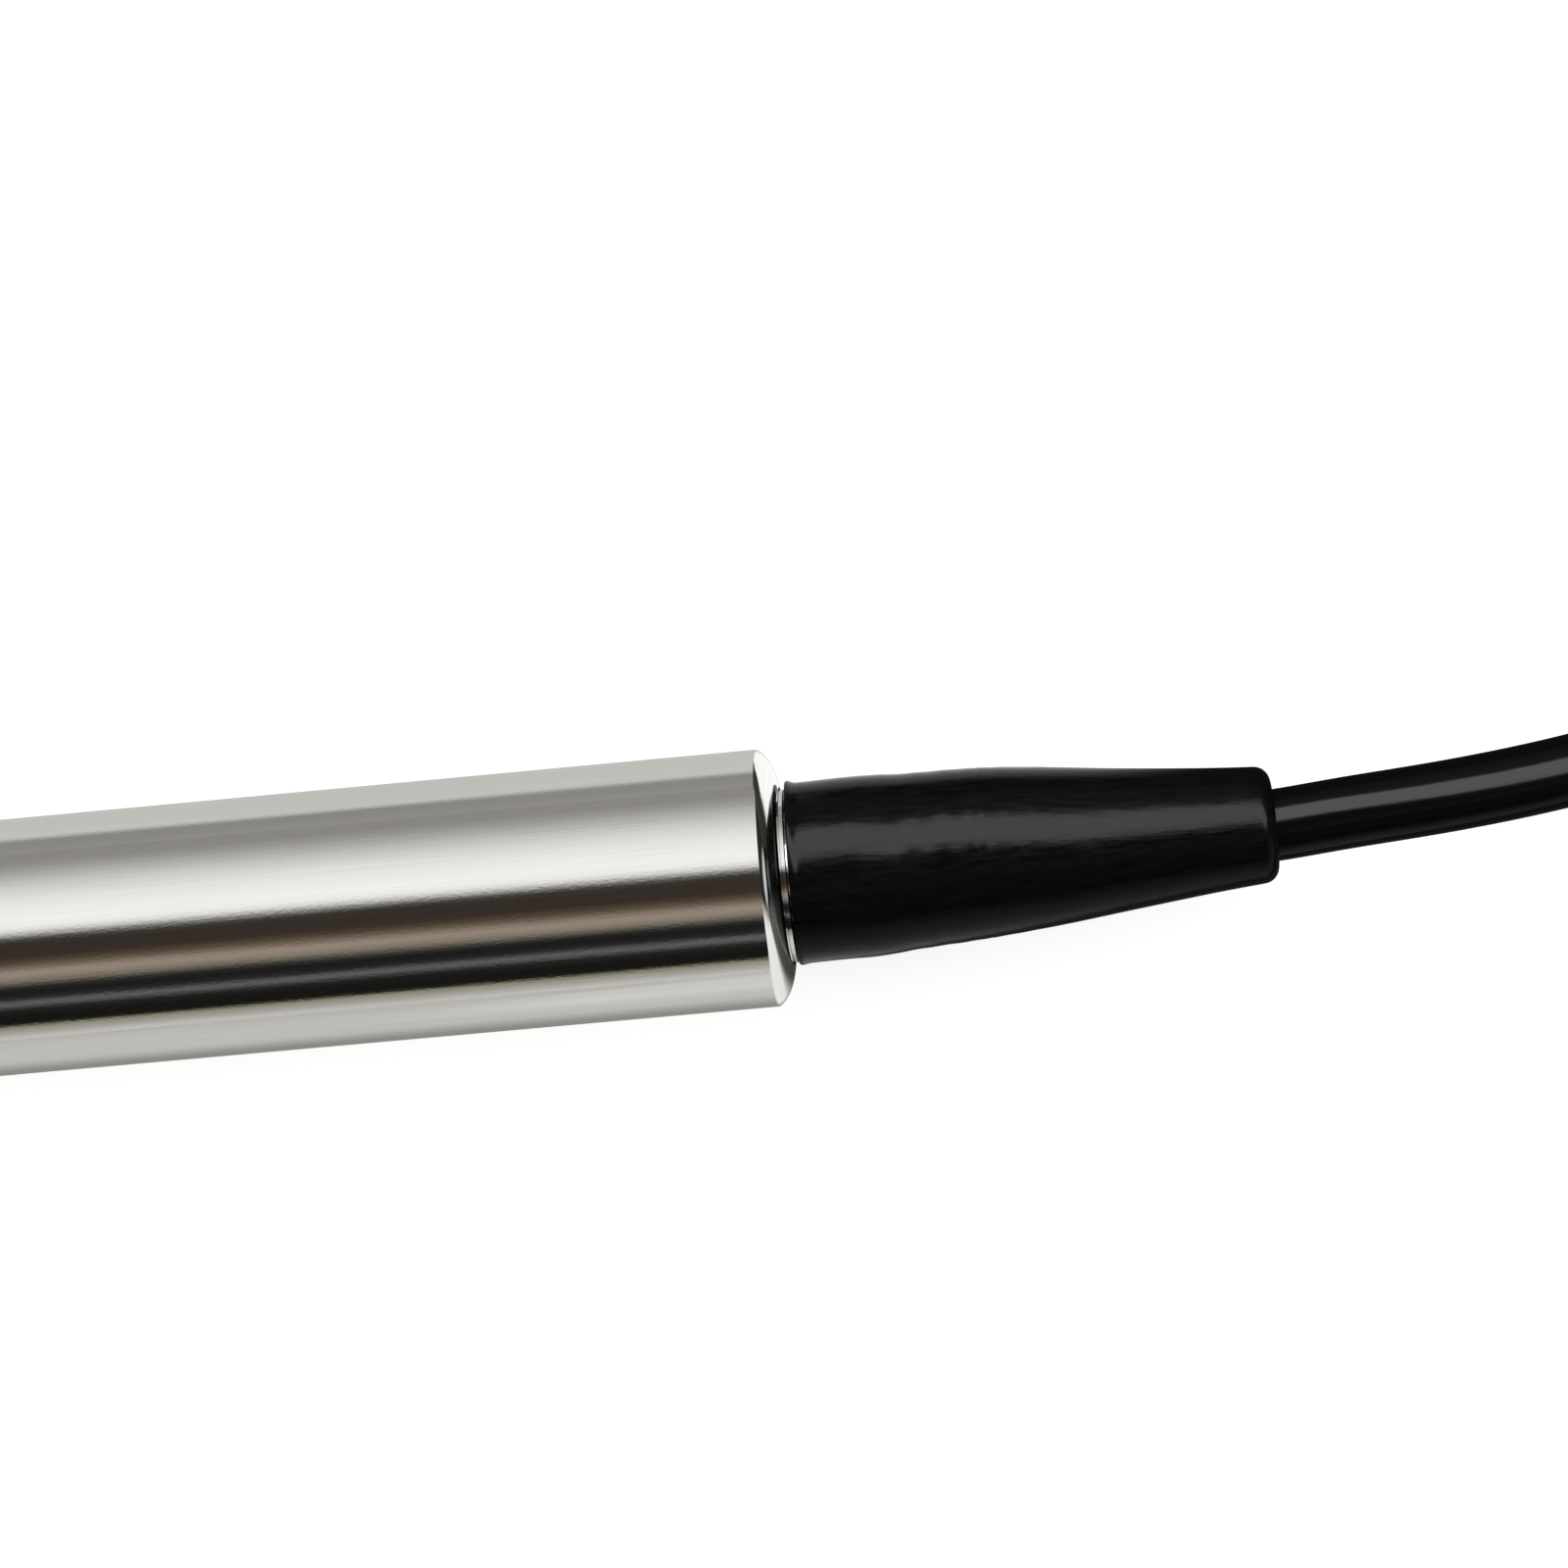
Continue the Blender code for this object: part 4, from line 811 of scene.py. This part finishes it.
# Cable gland
# A turned stainless steel gland is screwed through the rear wall. Only its polished collar shows,
# between the dome and the boot. Its barbed spigot and pocket for the grommet are under the boot.
COLLAR_RADIUS = 0.0094
COLLAR_FRONT = 0.0133
COLLAR_REAR = 0.01602
CABLE_HOLE = 0.00425
POCKET = 0.0059
POCKET_FLOOR = 0.01942
STEM = 0.0070
SPIGOT = 0.0069
SPIGOT_END = 0.03242
BARB = 0.0076
BARB_LENGTH = 0.0014
gland_outline = [(0.0, CABLE_HOLE), (POCKET_FLOOR, CABLE_HOLE), (POCKET_FLOOR, POCKET)]
gland_outline += [(SPIGOT_END, POCKET), (SPIGOT_END, SPIGOT)]
for foot in (0.0189, 0.0172):
    gland_outline += [(foot + BARB_LENGTH, SPIGOT), (foot, BARB), (foot, SPIGOT)]
gland_outline += [(COLLAR_REAR, SPIGOT), (COLLAR_REAR, 0.0093)]
gland_outline += [(COLLAR_REAR - 0.0001, COLLAR_RADIUS), (COLLAR_FRONT + 0.0001, COLLAR_RADIUS)]
gland_outline += [(COLLAR_FRONT, 0.0093), (COLLAR_FRONT, STEM), (0.0, STEM)]
gland_start = (RIM_X - 0.01342, 0.0, AXIS_HEIGHT)
gland = turned("gland_with_collar", gland_outline, gland_start, 256)
gland.data.materials.append(tube_steel)
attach(gland, "root")
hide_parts("gland_body")


# Strain relief boot
# A moulded black rubber sleeve, pushed over the gland and drawn in to the cable. It keeps its
# thickness over the gland, tapers from there on and ends in a round edge, and the pull of the
# cable tilts it a little. Moulding lines and slight unevenness run round it.
BOOT_FRONT = RIM_X + 0.0029
BOOT_LENGTH = 0.05203
END_ROUND = 0.0017
BOOT_TILT = math.radians(0.8)
BOOT_RADIUS = 0.0098
SLIMMER = 0.00017
MOULD_LINE = 0.00004
RIPPLE = 0.00002
profile_knots = np.array(
    [
        (0.0012, 0.01000),
        (0.0060, 0.01001),
        (0.0101, 0.00998),
        (0.0138, 0.00972),
        (0.0202, 0.00945),
        (0.0244, 0.00913),
        (0.0287, 0.00871),
        (0.0330, 0.00821),
        (0.0372, 0.00774),
        (0.0415, 0.00729),
        (0.0458, 0.00687),
        (0.0490, 0.00661),
        (0.0502, 0.00652),
    ]
)


def swelling(where, middle, width):
    """A bell curve: e to the power of minus the square of the distance in widths."""
    return np.exp(-(((where - middle) / width) ** 2))


# The moulded side is a little slimmer than the solid, with a dip, a mould line and faint ripples
boot_side = cubic_through(profile_knots, 0.0004)[0]
place = boot_side[:, 0]
boot_side[:, 1] -= SLIMMER + 0.0001 * swelling(place, 0.0115, 0.0025)
boot_side[:, 1] -= MOULD_LINE * swelling(place, 0.0205, 0.0003)
boot_side[:, 1] += RIPPLE * np.sin(place * 1900.0) * swelling(place, 0.017, 0.008)
boot_outline = np.vstack(
    [
        [(0.0003, 0.0079), (0.0051, 0.0079), (0.0051, 0.0089), (0.0205, 0.0089)],
        [(0.0300, 0.0045), (0.0493, 0.0045), (0.0505, 0.0042), (BOOT_LENGTH - 0.0002, 0.0042)],
        [(BOOT_LENGTH, 0.0044)],
        rounded_corner(BOOT_LENGTH - END_ROUND, 0.00463, END_ROUND, 2, 84, 12),
        boot_side[::-1],
        [(0.0008, 0.00987), (0.0006, 0.00993), (0.0002, 0.00995)],
        [(0.00005, 0.00988), (0.0, 0.0098), (0.0, 0.0082)],
    ]
)
lean_way = np.array([math.cos(BOOT_TILT), math.sin(BOOT_TILT), 0.0])
boot = turned("moulded_boot", boot_outline, (BOOT_FRONT, 0.0, AXIS_HEIGHT), 256, lean_way)
corners = np.empty(3 * len(boot.data.vertices))
boot.data.vertices.foreach_get("co", corners)
corners = corners.reshape(-1, 3)

# The cable bows the boot, its front face is pushed askew, and its lip stands out on the far side
from_front = corners[:, 0] - BOOT_FRONT
bow = 0.00015 + 0.00015 * swelling(from_front, 0.0215, 0.009)
corners[:, 1] += bow * gentle_step(from_front, 0.0, 0.006)
pushed = 1 - gentle_step(from_front, 0.0, 0.008)
corners[:, 0] -= 0.0004 * pushed * (0.5 - corners[:, 1] / (2 * BOOT_RADIUS)) ** 2
from_front = corners[:, 0] - BOOT_FRONT
far_side = np.clip(corners[:, 1] / BOOT_RADIUS, 0.0, 1.0)
skin = np.hypot(corners[:, 1], corners[:, 2] - AXIS_HEIGHT) > 0.009
lip = 0.0002 * far_side * swelling(from_front, 0.0, 0.0005)
corners[:, 1] += skin * (lip + 0.00018 * swelling(from_front, 0.0, 0.005))
boot.data.vertices.foreach_set("co", corners.ravel())

boot_rubber, shader = plain_material("boot_satin", (0.002, 0.002, 0.002), 0.3)
shader.inputs["Specular IOR Level"].default_value = 0.055
boot_grain = grain(boot_rubber, (1700.0, 260.0, 1.0), 2.6)
graded(boot_rubber, boot_grain, shader.inputs["Roughness"], 0.11, 0.28)
black = (0.0007, 0.0007, 0.0007), (0.0016, 0.0016, 0.0016)
graded(boot_rubber, boot_grain, shader.inputs["Base Color"], *black)
bumped(boot_rubber, grain(boot_rubber, (1500.0, 300.0, 1.0), 1.6), shader, 0.000014)
boot.data.materials.append(boot_rubber)
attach(boot, "root")
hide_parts("strain_relief_boot")


# Pieces inside the housing
# The sensor, its seals and leads, the board with its parts, and the gland's nuts keep the shape
# they have in the CAD. Each gets the finish of its own kind: metal, rubber, moulding or board.

# Each finish: its colour, roughness and metal, and the pieces that have it
INNER_PIECES = (
    (
        "bare_steel",
        ((0.66, 0.66, 0.65), 0.32, 1.0),
        "sensor_body reference_tube lock_washer lock_nut pressure_washer compression_nut",
    ),
    (
        "gold",
        ((0.83, 0.62, 0.28), 0.28, 1.0),
        " ".join(f"header_pin_{n} sensor_lead_{n}" for n in range(1, 6)),
    ),
    (
        "seal",
        ((0.02, 0.02, 0.02), 0.6, 0.0),
        "sensor_oring housing_oring gland_oring cable_grommet",
    ),
    (
        "natural",
        ((0.80, 0.78, 0.71), 0.5, 0.0),
        "insulating_sleeve front_board_disc rear_board_disc terminal_block",
    ),
    ("board", ((0.02, 0.14, 0.06), 0.4, 0.0), "circuit_board"),
    (
        "package",
        ((0.02, 0.02, 0.02), 0.5, 0.0),
        "amplifier_chip loop_transistor surge_suppressor",
    ),
    ("blue", ((0.04, 0.12, 0.42), 0.4, 0.0), "zero_trimmer span_trimmer"),
    ("yellow", ((0.70, 0.46, 0.07), 0.45, 0.0), "loop_capacitor"),
    ("red", ((0.50, 0.02, 0.015), 0.4, 0.0), "positive_core"),
    ("black", ((0.012, 0.012, 0.012), 0.35, 0.0), "negative_core cable_in_gland"),
    ("white", ((0.75, 0.75, 0.72), 0.45, 0.0), "vent_tube"),
)
for finish, (colour, roughness, metallic), names in INNER_PIECES:
    look, shader = plain_material(f"inner_{finish}", colour, roughness, metallic)
    mottle = grain(look, (1200.0, 1200.0, 1200.0), 1.4, "Object")
    graded(look, mottle, shader.inputs["Roughness"], roughness - 0.08, roughness + 0.1)
    darker = tuple(0.88 * part for part in colour)
    graded(look, mottle, shader.inputs["Base Color"], darker, colour)
    for name in names.split():
        for slot in bpy.data.objects[name].material_slots:
            slot.material = look


# Table and studio light
# A white table runs off to white all round. A wide soft panel stands above the far side of the
# tube, a dim warm card hangs on the near side, and the rest of the room is dark, as the tube shows.
TABLE_REACH = 3.0
TABLE_HEIGHT = -0.0002
CAMERA_GLOW = 0.60
EVEN_LIGHT = 0.75
table_white, shader = plain_material("table_white", (0.86, 0.86, 0.86), 0.9)
nodes, links = table_white.node_tree.nodes, table_white.node_tree.links


def stage_step(source, start, end, low=0.0, high=1.0):
    """A smooth rise from low to high while the source goes from start to end."""
    step = nodes.new("ShaderNodeMapRange")
    step.interpolation_type = "SMOOTHSTEP"
    for name, value in (("From Min", start), ("From Max", end), ("To Min", low), ("To Max", high)):
        step.inputs[name].default_value = value
    links.new(source, step.inputs["Value"])
    return step.outputs["Result"]


def reckoned(operation, *values):
    """A sum, product or the like of sockets and plain numbers."""
    node = nodes.new("ShaderNodeMath")
    node.operation = operation
    for socket, value in zip(node.inputs, values):
        if isinstance(value, float):
            socket.default_value = value
        else:
            links.new(value, socket)
    return node.outputs[0]


def tinted(share, low, high):
    """A colour between low and high, each of them a colour or a socket."""
    node = nodes.new("ShaderNodeMix")
    node.data_type = "RGBA"
    links.new(share, node.inputs[0])
    for socket, value in zip(node.inputs[6:8], (low, high)):
        if isinstance(value, tuple):
            socket.default_value = (*value, 1.0)
        else:
            links.new(value, socket)
    return node.outputs[2]


def shaders_joined(kind, *sources):
    """An Add or a Mix shader of the sources, a Mix with its share first."""
    node = nodes.new(kind)
    for socket, source in zip(node.inputs, sources):
        links.new(source, socket)
    return node.outputs[0]


def shining(kind, strength):
    """A white emission or background of this strength, a number or a socket."""
    node = nodes.new(kind)
    node.inputs["Color"].default_value = (1.0, 1.0, 1.0, 1.0)
    if isinstance(strength, float):
        node.inputs["Strength"].default_value = strength
    else:
        links.new(strength, node.inputs["Strength"])
    return node.outputs[0]


def read(kind):
    """The outputs of a node that needs no input."""
    return nodes.new(kind).outputs


rays = read("ShaderNodeLightPath")
parts = nodes.new("ShaderNodeSeparateXYZ")
links.new(read("ShaderNodeTexCoord")["Object"], parts.inputs[0])

# In reflections the table carries painted reflections and painted shade: it is painted brighter on
# its near side, dark past its far edge, and darker beside the tube as a painted shadow. Round the
# boot it is painted dark, but for a white patch beside the boot and another one farther off on the
# near side, which glow there as painted light.
along, across = parts.outputs["X"], parts.outputs["Y"]
glossy = rays["Is Glossy Ray"]
painted_bright_near_side = reckoned(
    "MULTIPLY", stage_step(across, -0.045, -0.080), stage_step(along, -0.03, 0.01)
)
painted_dark_past_edge = stage_step(across, 0.056, 0.080)
painted_round_boot = reckoned("MULTIPLY", stage_step(along, 0.0352, 0.0385), glossy)
# Painted light: two patches of the table glow where reflections meet them round the boot
painted_far_light = reckoned("MULTIPLY", stage_step(across, 0.004, 0.010), stage_step(across, 0.040, 0.034))
painted_far_light = reckoned("MULTIPLY", painted_far_light, stage_step(along, 0.085, 0.065))
painted_near_light = stage_step(reckoned("MULTIPLY_ADD", along, 0.34, across), 0.001, -0.005, 0.0, 0.75)
painted_light_patches = reckoned("ADD", painted_far_light, painted_near_light)
tone_with_painted_reflections = tinted(reckoned("MULTIPLY", painted_bright_near_side, glossy), (0.79, 0.78, 0.76), (0.93, 0.92, 0.90))
# Painted shadow: beside the tube, glossy rays see the table painted darker
painted_shadow_by_tube = reckoned("MULTIPLY", stage_step(across, -0.042, -0.020), stage_step(across, 0.0, -0.01))
tone_with_painted_reflections = tinted(reckoned("MULTIPLY", painted_shadow_by_tube, glossy), tone_with_painted_reflections, (0.53, 0.53, 0.51))
tone_with_painted_reflections = tinted(reckoned("MULTIPLY", painted_dark_past_edge, glossy), tone_with_painted_reflections, (0.34, 0.335, 0.32))
# Painted shade: round the boot, glossy rays see the table painted dark, a little less dark on its
# near side
painted_dim_by_boot = reckoned("MULTIPLY", painted_round_boot, stage_step(across, 0.006, -0.006))
tone_with_painted_reflections = tinted(painted_round_boot, tone_with_painted_reflections, (0.02, 0.02, 0.02))
links.new(tinted(painted_dim_by_boot, tone_with_painted_reflections, (0.11, 0.112, 0.10)), shader.inputs["Base Color"])

# Glossy rays see the patches round the boot glow as painted light. The camera sees the table with a
# glow added, so that it runs off to white round the shadow
painted_patch_glow = shining("ShaderNodeEmission", reckoned("MULTIPLY", painted_round_boot, painted_light_patches))
glow = shining("ShaderNodeEmission", CAMERA_GLOW)
reflected = shaders_joined("ShaderNodeAddShader", shader.outputs[0], painted_patch_glow)
plain = shaders_joined("ShaderNodeAddShader", shader.outputs[0], glow)
seen = shaders_joined("ShaderNodeMixShader", rays["Is Camera Ray"], reflected, plain)
links.new(seen, nodes["Material Output"].inputs["Surface"])

table_corners = TABLE_REACH * np.array([(-1, -1), (1, -1), (1, 1), (-1, 1)])
table_points = np.column_stack([table_corners, np.full(4, TABLE_HEIGHT)])
table = mesh_object("table", table_points, [(0, 1, 2, 3)])
table.data.materials.append(table_white)

# The room as a reflection shows it, by the angle from straight up towards the far side
ROOM = (
    (-180, (0.60, 0.60, 0.60)),
    (-92, (0.85, 0.85, 0.84)),
    (-84, (0.55, 0.54, 0.51)),
    (-79, (0.42, 0.41, 0.36)),
    (-76, (0.34, 0.32, 0.24)),
    (-73.2, (0.010, 0.010, 0.007)),
    (-64, (0.010, 0.010, 0.009)),
    (-57, (0.02, 0.02, 0.02)),
    (-51.5, (0.165, 0.17, 0.175)),
    (-47, (0.025, 0.025, 0.027)),
    (-40, (0.012, 0.012, 0.012)),
    (-36, (0.03, 0.028, 0.026)),
    (-33, (0.11, 0.10, 0.085)),
    (-30, (0.27, 0.235, 0.19)),
    (-23, (0.43, 0.355, 0.29)),
    (-19, (0.27, 0.215, 0.165)),
    (-15, (0.12, 0.09, 0.065)),
    (-9, (0.052, 0.036, 0.026)),
    (0, (0.045, 0.036, 0.030)),
    (6, (0.05, 0.045, 0.04)),
    (9.5, (0.25, 0.25, 0.245)),
    (13, (0.84, 0.84, 0.84)),
    (17, (1.16, 1.16, 1.16)),
    (24, (1.24, 1.24, 1.24)),
    (36, (1.16, 1.15, 1.14)),
    (45, (1.03, 1.03, 1.01)),
    (56, (0.82, 0.82, 0.80)),
    (64, (0.64, 0.63, 0.61)),
    (75, (0.42, 0.42, 0.40)),
    (82, (0.35, 0.34, 0.33)),
    (180, (0.35, 0.34, 0.33)),
)
world = bpy.data.worlds.new("studio")
bpy.context.scene.world = world
world.use_nodes = True
nodes, links = world.node_tree.nodes, world.node_tree.links
nodes.clear()
parts = nodes.new("ShaderNodeSeparateXYZ")
links.new(read("ShaderNodeTexCoord")["Generated"], parts.inputs[0])
towards_cable, towards_far = parts.outputs["X"], parts.outputs["Y"]
share = nodes.new("ShaderNodeMapRange")
share.inputs["From Min"].default_value = -math.pi
share.inputs["From Max"].default_value = math.pi
links.new(reckoned("ARCTAN2", towards_far, parts.outputs["Z"]), share.inputs["Value"])
ramp = nodes.new("ShaderNodeValToRGB")
while len(ramp.color_ramp.elements) > 1:
    ramp.color_ramp.elements.remove(ramp.color_ramp.elements[0])
ramp.color_ramp.elements[0].position = 0.0
ramp.color_ramp.elements[0].color = (*ROOM[0][1], 1.0)
for degrees, colour in ROOM[1:]:
    ramp.color_ramp.elements.new((degrees + 180) / 360).color = (*colour, 1.0)
links.new(share.outputs["Result"], ramp.inputs["Fac"])

# Towards the nose the room is a plain mid grey, and over the cable it is dark but for its far end
past_cable = stage_step(towards_cable, 0.955, 0.985, 0.0, 0.6)
nose_end = stage_step(towards_cable, -0.80, -0.97)
cable_end = stage_step(towards_cable, 0.50, 0.66)
shade = stage_step(towards_far, -0.20, -0.50, 0.02, 0.9)
room = tinted(nose_end, ramp.outputs["Color"], (0.45, 0.45, 0.45))
room = tinted(cable_end, room, reckoned("MAXIMUM", shade, past_cable))

# A mirror sees the room, a matt surface an even light, and the camera plain white
rays = read("ShaderNodeLightPath")
mirrored = nodes.new("ShaderNodeBackground")
links.new(room, mirrored.inputs["Color"])
even = shining("ShaderNodeBackground", EVEN_LIGHT)
white = shining("ShaderNodeBackground", 1.0)
by_ray = shaders_joined("ShaderNodeMixShader", rays["Is Glossy Ray"], even, mirrored.outputs[0])
by_camera = shaders_joined("ShaderNodeMixShader", rays["Is Camera Ray"], by_ray, white)
links.new(by_camera, nodes.new("ShaderNodeOutputWorld").inputs["Surface"])


def area_lamp(name, across, along, power):
    """A rectangular lamp of this size and power."""
    lamp = bpy.data.lights.new(name, "AREA")
    lamp.shape = "RECTANGLE"
    lamp.size, lamp.size_y, lamp.energy = across, along, power
    made = bpy.data.objects.new(name, lamp)
    bpy.context.scene.collection.objects.link(made)
    return made


# A narrow panel that only the black rubber and the cable's sheath see
strip_middle = np.array([0.195, 0.47, 0.79])
strip_facing = strip_middle - np.array([0.06, 0.0, AXIS_HEIGHT])
strip_facing /= np.linalg.norm(strip_facing)
strip_along = np.array([0.82, -0.541, 0.19])
strip_along -= strip_along.dot(strip_facing) * strip_facing
strip_along /= np.linalg.norm(strip_along)
strip = area_lamp("rubber_strip", 1.6, 0.55, 31.0)
strip.matrix_world = placed(
    strip_along, np.cross(strip_facing, strip_along), strip_facing, strip_middle
)
black_pieces = bpy.data.collections.new("black_pieces")
for piece in (boot, cable, bare_end[0]):
    black_pieces.objects.link(piece)
strip.light_linking.receiver_collection = black_pieces

# A soft panel over the far side, seen by matt surfaces alone
panel = area_lamp("far_panel", 0.9, 0.5, 4.0)
panel.visible_glossy = False
panel.location = (0.0, 0.75, 0.85)
panel.rotation_euler = (math.radians(-41), 0.0, 0.0)

bpy.context.scene.view_settings.view_transform = "Standard"
